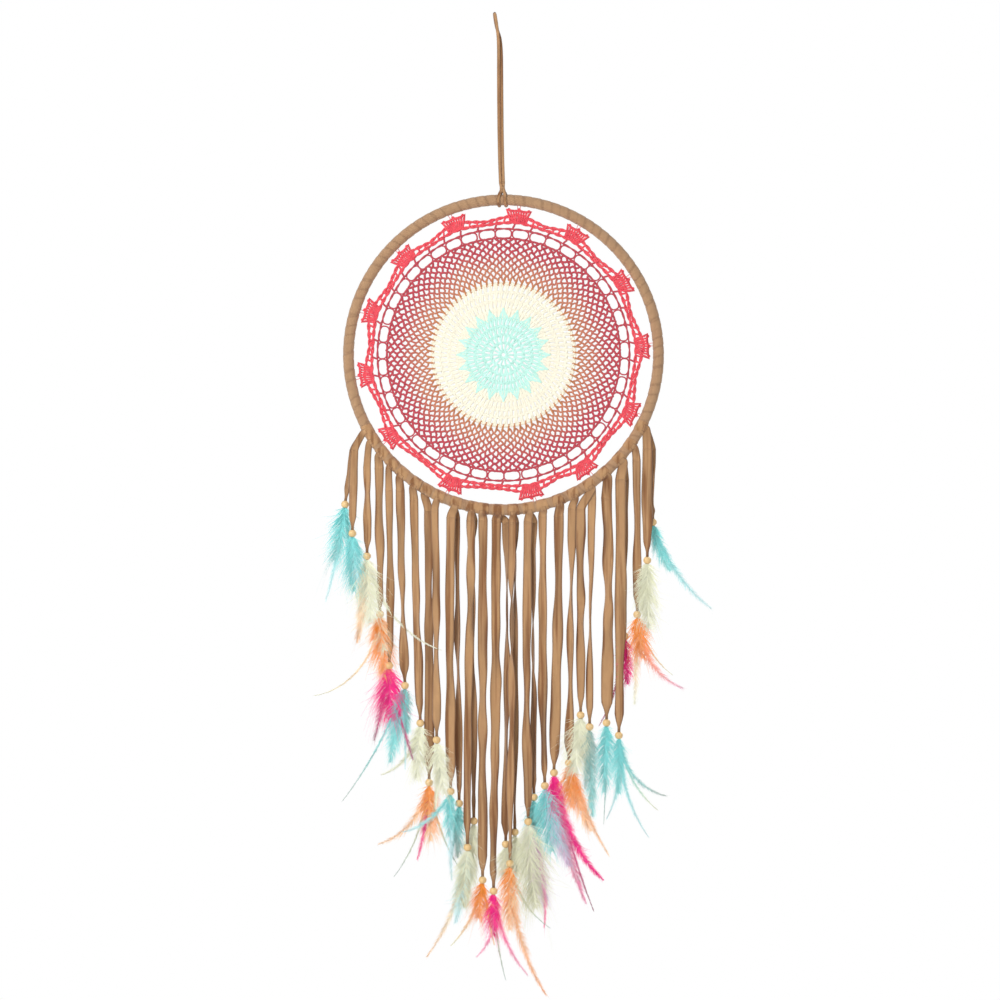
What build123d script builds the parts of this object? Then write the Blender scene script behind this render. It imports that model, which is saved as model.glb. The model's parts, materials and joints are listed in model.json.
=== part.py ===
from build123d import *
from collections import namedtuple
import math
import os

os.makedirs("parts", exist_ok=True)

# ---------------------------------------------------------------- driving dimensions, mm
# The origin is the inside of the hanging loop's bight. The hoop lies in the XZ plane, -Y is the front.
hang_length = 340.0         # from the bight down to the hoop's centre
hoop_radius = 155.0         # centreline of the hoop
core_radius = 4.0           # round rattan hoop under the wrap
wrap_radius = 5.5           # outside of the suede strip wound on the hoop
wrap_fit = 0.05             # wrap's bore over the core
wrap_seam = 1.0             # half of the angle between the wrap's two ends, degrees

loop_cord = 3.0             # lace of the hanging loop
loop_side = 1.65            # each run stands this far to the side of the axis
eye_side = 3.0              # and this far fore and aft at the bight
eye_drop = 22.0             # the bight's two sides are this long
twist_drop = 64.0           # below this the two runs lie side by side
neck_height = 9.0           # gathered neck over the hoop
neck_top = 3.4              # its radius under the loop
neck_foot = 5.6             # its radius at the hoop
top_hitch_width = 10.0      # along the hoop

hitch_thickness = 1.5       # suede strip drawn round the hoop
hitch_width = 8.4           # along the hoop
hitch_fit = 0.35            # round the wrap
seat_gap = 0.3              # between pieces that carry or follow each other
foot_gap = 0.5              # over the round top of each hanging lace

strip_thickness = 1.5       # faux-suede strip
single_knuckle = 1.8        # round top of a lace that hangs in the middle
pair_knuckle = 4.5          # round top of laces that hang one before the other
side_step = 2.7             # a front or back lace stands this far from a middle one
bead_diameter = 8.0
bore_diameter = 3.2
tongue_width = 2.0          # trimmed tip of the strip inside the bead
tongue_thickness = 1.4
tip_gap = 0.4               # from the bead's middle to the strip's tip and to the quills
quill_fit = 0.3             # bunched quills in the bead's bore
quill_reach = 9.0           # quills inside the feathers
leaf_start = 2.0            # feathers begin this far under the bead
leaf_thickness = 6.0
thin_leaf_thickness = 2.2   # where feathers hang one behind the other

doily_thickness = 2.0
center_points = 20
center_valley = 40.0        # radius between the mint centre's points
center_radius = 47.0
band_radius = 71.0
orange_radius = 95.0
coral_radius = 133.0
border_radius = 138.0
fan_radius = 8.0
tie_thickness = 1.0         # coral yarn round the hoop
tie_width = 3.0
eyelet_radius = 3.0         # ring of the first stitches at the doily's middle

# Clockwise from the top, degrees. The fans are crocheted by hand and stand unevenly.
FAN_ANGLES = [6.0, 30.5, 58.0, 86.0, 114.0, 143.8, 167.9, 202.2, 233.9, 261.0, 287.0, 314.5, 339.0]

# Where each hitch stands on the lower arc, degrees from straight down, left to right.
HITCH_ANGLES = [
    -60.9, -56.7, -51.0, -45.5, -40.4, -34.4, -29.6, -24.6, -17.8, -11.5, -7.6,
    -2.0, 3.5, 9.3, 14.4, 20.6, 26.6, 33.5, 40.4, 48.2, 54.7, 62.5,
]

# One hanging tail. hitch: its place in HITCH_ANGLES. side: -1 front, 0 middle, 1 back.
# route: points (x, drop under the hinge), the last one at the bead's middle.
# leaf: the feathers' tip x, their length under the bead's middle, and their width.
Tail = namedtuple("Tail", "hitch side width route leaf")

# One group of tails that swings together. inner: its edge nearest the hoop's middle.
# extra: how much lower than the hoop it is free to swing.
Group = namedtuple("Group", "inner extra tails")

GROUPS = [
    Group(-144.5, 16.0, [
        Tail(0, 1, 6.0, [(-151.0, 0), (-154.0, 26), (-158.5, 54.5)], (-168.5, 58, 16.0)),
        Tail(0, -1, 7.0, [(-149.0, 0), (-150.5, 40), (-151.0, 83.5)], (-150.5, 66, 10.0)),
    ]),
    Group(-119.5, 0.0, [
        Tail(1, 0, 7.0, [(-136.5, 0), (-135.8, 43), (-136.5, 89)], (-135.5, 74, 12.0)),
        Tail(2, 0, 8.0, [(-124.3, 0), (-123.8, 72), (-123.5, 147)], (-130.5, 71, 13.0)),
    ]),
    Group(-94.0, 0.0, [
        Tail(3, 0, 7.0, [(-114.5, 0), (-113.3, 62), (-113.0, 120), (-114.3, 176)], (-110.5, 79, 11.0)),
        Tail(4, 0, 8.0, [(-103.3, 0), (-102.8, 60), (-100.5, 136), (-98.6, 196)], (-101.5, 84, 12.0)),
    ]),
    Group(-79.0, 0.0, [
        Tail(5, 0, 7.4, [(-89.6, 0), (-88.4, 70), (-85.4, 150), (-83.2, 224)], (-88.0, 77, 12.0)),
    ]),
    Group(-62.5, 0.0, [
        Tail(7, -1, 7.0, [(-68.8, 0), (-67.6, 70), (-66.6, 150), (-66.8, 230)], (-66.4, 73, 6.4)),
        Tail(6, 1, 6.4, [(-75.0, 0), (-74.8, 85), (-74.2, 180), (-74.4, 273)], (-73.5, 80, 9.0)),
    ]),
    Group(-40.5, 0.0, [
        Tail(8, -1, 8.0, [(-52.4, 0), (-54.2, 85), (-52.8, 180), (-52.9, 274)], (-54.2, 64, 8.0)),
        Tail(8, 1, 6.4, [(-47.4, 0), (-46.4, 90), (-44.8, 190), (-44.4, 286.5)], (-44.6, 77, 7.0)),
    ]),
    Group(-25.5, 0.0, [
        Tail(9, -1, 6.4, [(-32.8, 0), (-32.2, 82), (-36.2, 180), (-36.0, 327)], (-35.4, 78, 8.6)),
        Tail(9, 1, 6.4, [(-30.0, 0), (-31.0, 80), (-30.6, 190), (-29.7, 301)], (-28.2, 79, 5.4)),
    ]),
    Group(0.0, 0.0, [
        Tail(10, 0, 7.0, [(-20.5, 0), (-20.9, 80), (-20.6, 180), (-21.1, 280), (-20.9, 360.5)],
             (-20.0, 70, 8.0)),
        Tail(11, 0, 7.6, [(-7.0, 0), (-7.8, 85), (-7.2, 185), (-10.3, 285), (-9.9, 371.5)],
             (-8.6, 77, 10.0)),
    ]),
    Group(0.0, 0.0, [
        Tail(11, 1, 6.4, [(2.6, 0), (3.8, 75), (3.3, 165), (2.7, 250), (2.2, 322)], (1.6, 56, 6.6)),
        Tail(12, -1, 6.0, [(9.0, 0), (8.0, 80), (8.3, 175), (7.0, 265), (6.5, 341)], (8.0, 112, 13.0)),
        Tail(12, 1, 6.2, [(11.8, 0), (11.6, 95), (11.0, 205), (11.3, 310)], (12.0, 73, 6.2)),
    ]),
    Group(16.0, 0.0, [
        Tail(13, -1, 7.6, [(24.5, 0), (23.4, 90), (22.9, 195), (24.7, 300)], (25.0, 91, 16.5)),
        Tail(13, 1, 6.4, [(30.0, 0), (29.5, 82), (29.9, 180), (30.4, 276)], (29.6, 71, 7.6)),
    ]),
    Group(35.0, 0.0, [
        Tail(14, 0, 7.0, [(39.0, 0), (39.5, 80), (38.9, 180), (41.3, 270)], (41.0, 77, 9.6)),
        Tail(15, 0, 8.0, [(55.3, 0), (55.4, 80), (52.0, 180), (50.5, 257)], (53.5, 72, 11.0)),
    ]),
    Group(60.0, 0.0, [
        Tail(16, 0, 7.4, [(68.5, 0), (68.0, 80), (66.5, 180), (65.3, 255)], (68.5, 82, 10.6)),
        Tail(17, 0, 7.4, [(77.3, 0), (77.7, 65), (77.5, 140), (77.1, 207)], (76.0, 70, 8.6)),
    ]),
    Group(82.0, 0.0, [
        Tail(17, 0, 6.2, [(88.6, 0), (87.2, 72), (86.4, 155), (86.1, 229.5)], (87.0, 88, 8.8)),
        Tail(18, 0, 8.0, [(103.0, 0), (105.0, 70), (104.6, 150), (103.0, 225.5)], (100.5, 77, 13.6)),
    ]),
    Group(110.0, 0.0, [
        Tail(19, -1, 8.0, [(117.0, 0), (117.7, 80), (116.8, 175), (115.3, 256)], (116.0, 80, 11.0)),
        Tail(19, 1, 6.8, [(121.5, 0), (121.0, 50), (120.9, 105), (121.3, 157)], (122.3, 79, 6.0)),
    ]),
    Group(126.0, 0.0, [
        Tail(20, 0, 7.6, [(133.0, 0), (133.6, 48), (133.5, 103), (133.7, 155)], (132.5, 80, 10.6)),
    ]),
    Group(139.0, 5.0, [
        Tail(21, -1, 8.0, [(144.0, 0), (143.8, 36), (143.9, 74), (143.7, 111.5)], (145.5, 75, 10.8)),
        Tail(21, 1, 7.0, [(148.4, 0), (148.9, 36), (149.5, 73.5)], (196.5, 68, 13.0)),
    ]),
]

# ---------------------------------------------------------------- what follows from them
hoop_z = -hang_length
hoop_top_z = hoop_z + hoop_radius
hitch_bore = wrap_radius + hitch_fit
hitch_radius = hitch_bore + hitch_thickness
tie_radius = hitch_bore + tie_thickness
fan_tip_radius = hoop_radius - hitch_radius - seat_gap
fan_center_radius = fan_tip_radius - fan_radius
neck_top_z = hoop_top_z + hitch_radius + neck_height
bead_radius = bead_diameter / 2
bore_radius = bore_diameter / 2
quill_radius = bore_radius - quill_fit
fringe_angle = max(abs(angle) for angle in HITCH_ANGLES)
hoop_axis = Axis((0, 0, hoop_z), (0, 1, 0))


def on_hoop(angle, radius=hoop_radius):
    """A point at an angle clockwise from the top of the hoop, degrees, as seen from the front."""
    turn = math.radians(angle)
    return Vector(radius * math.sin(turn), 0, hoop_z + radius * math.cos(turn))


def hoop_section(angle):
    """The plane that cuts the hoop's tube square at an angle clockwise from the top."""
    center = on_hoop(angle)
    radial = center - Vector(0, 0, hoop_z)
    return Plane(origin=center, x_dir=(0, 1, 0), z_dir=radial.cross(Vector(0, 1, 0)))


def corner_radii(points, share=0.45):
    """For each corner of a route, the arc that its two runs allow."""
    radii = []
    for before, corner, after in zip(points, points[1:], points[2:]):
        arriving = corner - before
        leaving = after - corner
        half_turn = math.radians(arriving.get_angle(leaving)) / 2
        radii.append(share * min(arriving.length, leaving.length) / math.tan(half_turn))
    return radii


def knuckle_radius(group):
    """Round top of a group: wide enough for a front and a back lace where it has them."""
    return pair_knuckle if any(tail.side for tail in group.tails) else single_knuckle


def hinge_height(group):
    """The group's hinge, clear of every hitch on the hoop over it."""
    reach = hoop_radius + hitch_radius
    under_hoop = hoop_z - math.sqrt(reach ** 2 - group.inner ** 2)
    return under_hoop - foot_gap - knuckle_radius(group) - group.extra


def tail_depth(group, tail):
    """Where a tail hangs along Y, so that its group balances under its hinge."""
    weights = [other.width * other.route[-1][1] for other in group.tails]
    leaning = sum(weight * other.side for weight, other in zip(weights, group.tails)) / sum(weights)
    return side_step * (tail.side - leaning)


def front_plane(depth):
    """A drawing plane parallel to the hoop, seen from the front, at a depth along Y."""
    return Plane.XZ.offset(-depth)


# ---------------------------------------------------------------- hanging loop
eye_z = loop_cord / 2
loop_route = [
    Vector(-loop_side, 0, neck_top_z + seat_gap),
    Vector(-loop_side, 0, -twist_drop),
    Vector(0, -eye_side, -eye_drop),
    Vector(0, -eye_side, eye_z),
    Vector(0, eye_side, eye_z),
    Vector(0, eye_side, -eye_drop),
    Vector(loop_side, 0, -twist_drop),
    Vector(loop_side, 0, neck_top_z + seat_gap),
]
loop_radii = corner_radii(loop_route)
print("hanging loop radii", [round(radius, 1) for radius in loop_radii])

with BuildPart() as hanging_loop:
    with BuildLine() as loop_line:
        FilletPolyline(*loop_route, radius=loop_radii)
    with BuildSketch(Plane(origin=loop_route[0], z_dir=(0, 0, 1))):
        Circle(loop_cord / 2)
    sweep()
hanging_loop.part.label = "hanging_loop"
export_step(hanging_loop.part, "parts/hanging_loop.step")
loop_section = math.pi * loop_cord ** 2 / 4
loop_length = sum(edge.length for edge in loop_line.edges())
print("hanging loop volume", round(hanging_loop.part.volume, 1))
print("section times length", round(loop_section * loop_length, 1))

# ---------------------------------------------------------------- hitch and neck that hold the hoop
with BuildPart() as top_knot:
    with BuildSketch(Plane.YZ.offset(-top_hitch_width / 2)):
        with Locations((0, hoop_top_z)):
            Circle(hitch_radius)
    extrude(amount=top_hitch_width)
    with BuildSketch(Plane.XZ):
        with BuildLine():
            Polyline(
                (0, hoop_top_z),
                (neck_foot, hoop_top_z),
                (neck_foot, hoop_top_z + wrap_radius),
                (neck_top, neck_top_z),
                (0, neck_top_z),
                close=True,
            )
        make_face()
    revolve(axis=Axis.Z)
    with BuildSketch(Plane.YZ.offset(-hitch_radius)):
        with Locations((0, hoop_top_z)):
            Circle(hitch_bore)
    extrude(amount=2 * hitch_radius, mode=Mode.SUBTRACT)
top_knot.part.label = "top_knot"
export_step(top_knot.part, "parts/top_knot.step")

# ---------------------------------------------------------------- hoop and its wrap
with BuildPart() as ring_core:
    with BuildSketch(hoop_section(0)):
        Circle(core_radius)
    revolve(axis=hoop_axis)
ring_core.part.label = "ring_core"
export_step(ring_core.part, "parts/ring_core.step")

with BuildPart() as ring_wrap:
    with BuildSketch(hoop_section(wrap_seam)):
        Circle(wrap_radius)
        Circle(core_radius + wrap_fit, mode=Mode.SUBTRACT)
    revolve(axis=hoop_axis, revolution_arc=360 - 2 * wrap_seam)
ring_wrap.part.label = "ring_wrap"
export_step(ring_wrap.part, "parts/ring_wrap.step")

# ---------------------------------------------------------------- doily
star = []
for corner in range(2 * center_points):
    star_angle = math.radians(180 / center_points * corner)
    star_radius = center_radius if corner % 2 == 0 else center_valley
    star.append((star_radius * math.sin(star_angle), star_radius * math.cos(star_angle)))

doily_plane = Plane(origin=(0, 0, hoop_z), x_dir=(1, 0, 0), z_dir=(0, -1, 0))

with BuildPart() as doily_center:
    with BuildSketch(doily_plane):
        Polygon(*star, align=None)
        Circle(eyelet_radius, mode=Mode.SUBTRACT)
    extrude(amount=doily_thickness / 2, both=True)
doily_center.part.label = "doily_center"
export_step(doily_center.part, "parts/doily_center.step")

with BuildPart() as doily_band:
    with BuildSketch(doily_plane):
        Circle(band_radius)
        Polygon(*star, align=None, mode=Mode.SUBTRACT)
    extrude(amount=doily_thickness / 2, both=True)
doily_band.part.label = "doily_band"
export_step(doily_band.part, "parts/doily_band.step")

with BuildPart() as doily_mesh_orange:
    with BuildSketch(doily_plane):
        Circle(orange_radius)
        Circle(band_radius, mode=Mode.SUBTRACT)
    extrude(amount=doily_thickness / 2, both=True)
doily_mesh_orange.part.label = "doily_mesh_orange"
export_step(doily_mesh_orange.part, "parts/doily_mesh_orange.step")

with BuildPart() as doily_mesh_coral:
    with BuildSketch(doily_plane):
        Circle(coral_radius)
        Circle(orange_radius, mode=Mode.SUBTRACT)
    extrude(amount=doily_thickness / 2, both=True)
doily_mesh_coral.part.label = "doily_mesh_coral"
export_step(doily_mesh_coral.part, "parts/doily_mesh_coral.step")

with BuildPart() as doily_border:
    with BuildSketch(doily_plane):
        Circle(border_radius)
        for fan_angle in FAN_ANGLES:
            fan_turn = math.radians(fan_angle)
            with Locations((fan_center_radius * math.sin(fan_turn), fan_center_radius * math.cos(fan_turn))):
                Circle(fan_radius)
        Circle(coral_radius, mode=Mode.SUBTRACT)
    extrude(amount=doily_thickness / 2, both=True)
doily_border.part.label = "doily_border"
export_step(doily_border.part, "parts/doily_border.step")

with BuildPart() as doily_ties:
    for fan_angle in FAN_ANGLES:
        with BuildSketch(hoop_section(fan_angle)):
            Circle(tie_radius)
            Circle(hitch_bore, mode=Mode.SUBTRACT)
            if abs(fan_angle - 180) < fringe_angle:
                with Locations((0, -tie_radius)):
                    Rectangle(2 * tie_radius, tie_radius, mode=Mode.SUBTRACT)
        extrude(amount=tie_width / 2, both=True)
doily_ties.part.label = "doily_ties"
export_step(doily_ties.part, "parts/doily_ties.step")

# ---------------------------------------------------------------- hitches of the fringe
with BuildPart() as lace_knots:
    for hitch_angle in HITCH_ANGLES:
        with BuildSketch(hoop_section(180 - hitch_angle)):
            Circle(hitch_radius)
        extrude(amount=hitch_width / 2, both=True)
    for group in GROUPS:
        foot_z = hinge_height(group) + knuckle_radius(group) + foot_gap
        for tail in group.tails:
            saddle = on_hoop(180 - HITCH_ANGLES[tail.hitch])
            foot_x = tail.route[0][0]
            half = tail.width / 2
            with BuildSketch(front_plane(tail_depth(group, tail))):
                with BuildLine():
                    Polyline(
                        (saddle.X - half, saddle.Z),
                        (saddle.X + half, saddle.Z),
                        (foot_x + half, foot_z),
                        (foot_x - half, foot_z),
                        close=True,
                    )
                make_face()
            extrude(amount=strip_thickness / 2, both=True)
    with BuildSketch(hoop_section(0)):
        Circle(hitch_bore)
    revolve(axis=hoop_axis, mode=Mode.SUBTRACT)
lace_knots.part.label = "lace_knots"
export_step(lace_knots.part, "parts/lace_knots.step")

# ---------------------------------------------------------------- laces, beads and feathers
for number, group in enumerate(GROUPS, start=1):
    hinge_z = hinge_height(group)
    knuckle = knuckle_radius(group)
    print(f"lace_{number:02d} hinge height", round(hinge_z, 3))
    strip_volume = 0.0

    with BuildPart() as lace:
        for tail in group.tails:
            depth = tail_depth(group, tail)
            bead_x, bead_drop = tail.route[-1]
            strip_end = bead_drop - bead_radius - seat_gap
            route = [Vector(x, hinge_z - drop) for x, drop in tail.route[:-1]]
            route.append(Vector(bead_x, hinge_z - strip_end))
            radii = corner_radii(route)
            print(f"tail of lace_{number:02d} radii", [round(radius) for radius in radii])
            with BuildSketch(front_plane(depth)):
                with BuildLine() as strip_line:
                    FilletPolyline(*route, radius=radii)
                trace(line_width=tail.width)
            extrude(amount=strip_thickness / 2, both=True)
            strip_length = sum(edge.length for edge in strip_line.edges())
            strip_volume += strip_length * tail.width * strip_thickness
            with BuildSketch(Plane.YZ.offset(route[0].X - tail.width / 2)):
                with Locations((0, hinge_z)):
                    Circle(knuckle)
            extrude(amount=tail.width)
            with Locations((bead_x, depth, hinge_z - strip_end)):
                Box(tongue_width, tongue_thickness, 2 * (bead_radius + seat_gap - tip_gap))
    lace.part.label = f"lace_{number:02d}"
    export_step(lace.part, f"parts/lace_{number:02d}.step")
    print(f"lace_{number:02d} volume", round(lace.part.volume), "strips alone", round(strip_volume))

    with BuildPart() as beads:
        for tail in group.tails:
            bead_x, bead_drop = tail.route[-1]
            with Locations((bead_x, tail_depth(group, tail), hinge_z - bead_drop)):
                Sphere(bead_radius)
                Cylinder(bore_radius, bead_diameter, mode=Mode.SUBTRACT)
    beads.part.label = f"beads_{number:02d}"
    export_step(beads.part, f"parts/beads_{number:02d}.step")

    with BuildPart() as feathers:
        for tail in group.tails:
            depth = tail_depth(group, tail)
            bead_x, bead_drop = tail.route[-1]
            tip_x, leaf_length, leaf_width = tail.leaf
            bead_z = hinge_z - bead_drop
            root = Vector(bead_x, bead_z - bead_radius - leaf_start)
            tip = Vector(tip_x, bead_z - leaf_length)
            across = (tip - root).normalized().rotate(Axis.Z, 90) * (leaf_width / 2)
            middle = (root + tip) / 2
            with BuildSketch(front_plane(depth)):
                with BuildLine():
                    ThreePointArc(root, middle + across, tip)
                    ThreePointArc(tip, middle - across, root)
                make_face()
            extrude(amount=(thin_leaf_thickness if tail.side else leaf_thickness) / 2, both=True)
            quill_length = bead_radius + leaf_start + quill_reach - tip_gap
            with Locations((bead_x, depth, bead_z - tip_gap)):
                Cylinder(quill_radius, quill_length, align=(Align.CENTER, Align.CENTER, Align.MAX))
    feathers.part.label = f"feathers_{number:02d}"
    export_step(feathers.part, f"parts/feathers_{number:02d}.step")
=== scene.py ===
import itertools
import json
import math
import random
from collections import namedtuple

import bmesh
import bpy
from mathutils import Matrix, Vector


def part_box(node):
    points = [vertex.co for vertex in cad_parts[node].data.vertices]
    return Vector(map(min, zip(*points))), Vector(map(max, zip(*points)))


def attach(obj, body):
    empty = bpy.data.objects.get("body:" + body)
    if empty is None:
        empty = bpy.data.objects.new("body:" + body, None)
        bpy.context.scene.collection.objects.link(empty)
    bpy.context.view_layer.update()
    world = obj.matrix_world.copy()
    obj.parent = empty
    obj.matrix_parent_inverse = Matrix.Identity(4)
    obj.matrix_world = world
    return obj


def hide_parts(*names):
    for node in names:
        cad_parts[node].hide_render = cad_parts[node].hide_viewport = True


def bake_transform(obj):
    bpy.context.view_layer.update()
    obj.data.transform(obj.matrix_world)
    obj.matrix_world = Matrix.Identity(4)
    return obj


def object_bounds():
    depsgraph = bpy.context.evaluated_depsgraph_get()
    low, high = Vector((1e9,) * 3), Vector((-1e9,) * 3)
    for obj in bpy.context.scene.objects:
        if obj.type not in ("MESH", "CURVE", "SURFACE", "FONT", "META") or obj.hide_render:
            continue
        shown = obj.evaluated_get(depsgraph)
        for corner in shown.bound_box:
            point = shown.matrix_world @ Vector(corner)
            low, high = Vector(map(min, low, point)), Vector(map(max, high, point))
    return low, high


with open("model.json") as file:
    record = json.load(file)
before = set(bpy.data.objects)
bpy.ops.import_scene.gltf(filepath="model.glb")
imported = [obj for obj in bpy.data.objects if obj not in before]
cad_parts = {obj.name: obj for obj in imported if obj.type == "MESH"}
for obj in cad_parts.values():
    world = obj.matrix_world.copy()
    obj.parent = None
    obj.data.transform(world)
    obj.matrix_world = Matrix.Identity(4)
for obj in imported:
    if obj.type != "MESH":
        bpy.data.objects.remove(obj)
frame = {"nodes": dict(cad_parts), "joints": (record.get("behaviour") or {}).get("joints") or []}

bl_info = {
    "name": "Dream Catcher",
    "version": (1, 0, 0),
    "blender": (4, 5, 0),
    "location": "View3D > Sidebar > Dream Catcher",
    "description": "Suede hoop with a crocheted doily, a fringe of suede strips, beads and feathers",
    "category": "Add Mesh",
}

CAD_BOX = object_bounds()
MM = 0.001
FRONT = Vector((0, -1, 0))
BACK = Vector((0, 1, 0))
PLAIN = (1, 1, 1)

# The hoop, from its CAD node.
WRAP_LOW, WRAP_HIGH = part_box("ring_wrap")
HOOP_Z = (WRAP_LOW[2] + WRAP_HIGH[2]) / 2
WRAP_RADIUS = (WRAP_HIGH[1] - WRAP_LOW[1]) / 2
HOOP_RADIUS = (WRAP_HIGH[0] - WRAP_LOW[0]) / 2 - WRAP_RADIUS
HOOP_TOP_Z = HOOP_Z + HOOP_RADIUS
HINGES = {joint["child"]: Vector(joint["pos_m"]) for joint in frame["joints"]}

# Clockwise from the top, degrees: the doily's fans.
FAN_ANGLES = [6.0, 30.5, 58.0, 86.0, 114.0, 143.8, 167.9, 202.2, 233.9, 261.0, 287.0, 314.5, 339.0]

# Degrees from straight down: the fringe's hitches, left to right.
HITCH_ANGLES = [
    -60.9, -56.7, -51.0, -45.5, -40.4, -34.4, -29.6, -24.6, -17.8, -11.5, -7.6,
    -2.0, 3.5, 9.3, 14.4, 20.6, 26.6, 33.5, 40.4, 48.2, 54.7, 62.5,
]

# The hanging lace's route from one end over its bight to the other.
LOOP_ROUTE = [
    (-0.0030, 0, -0.16835),
    (-0.0043, 0, -0.140),
    (-0.0050, 0, -0.064),
    (-0.0048, -0.0014, -0.026),
    (-0.0064, -0.0024, -0.013),
    (-0.0086, -0.0028, 0.0012),
    (-0.0092, 0.0028, 0.0012),
    (-0.0070, 0.0024, -0.013),
    (-0.0022, 0.0014, -0.026),
    (-0.0018, 0, -0.064),
    (-0.0012, 0, -0.140),
    (0.0000, 0, -0.16835),
]

# One feather. dye, end: colours at its root and tip. lean, curl: degrees from straight down
# at the root, and how much further it has turned at the tip, positive to the right.
Plume = namedtuple("Plume", "dye end length width lean curl")

# One hanging strip. group: which tails it swings with. angle: its hitch on the hoop.
# side: -1 front, 0 middle, 1 back. width, slot_width: its own, and the room it hangs in.
# twist: how far it has turned edge-on along its length, degrees.
# route: x and drop under the hinge, metres, the last point at the bead's middle.
Tail = namedtuple("Tail", "group angle side width slot_width twist route plumes")

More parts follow.
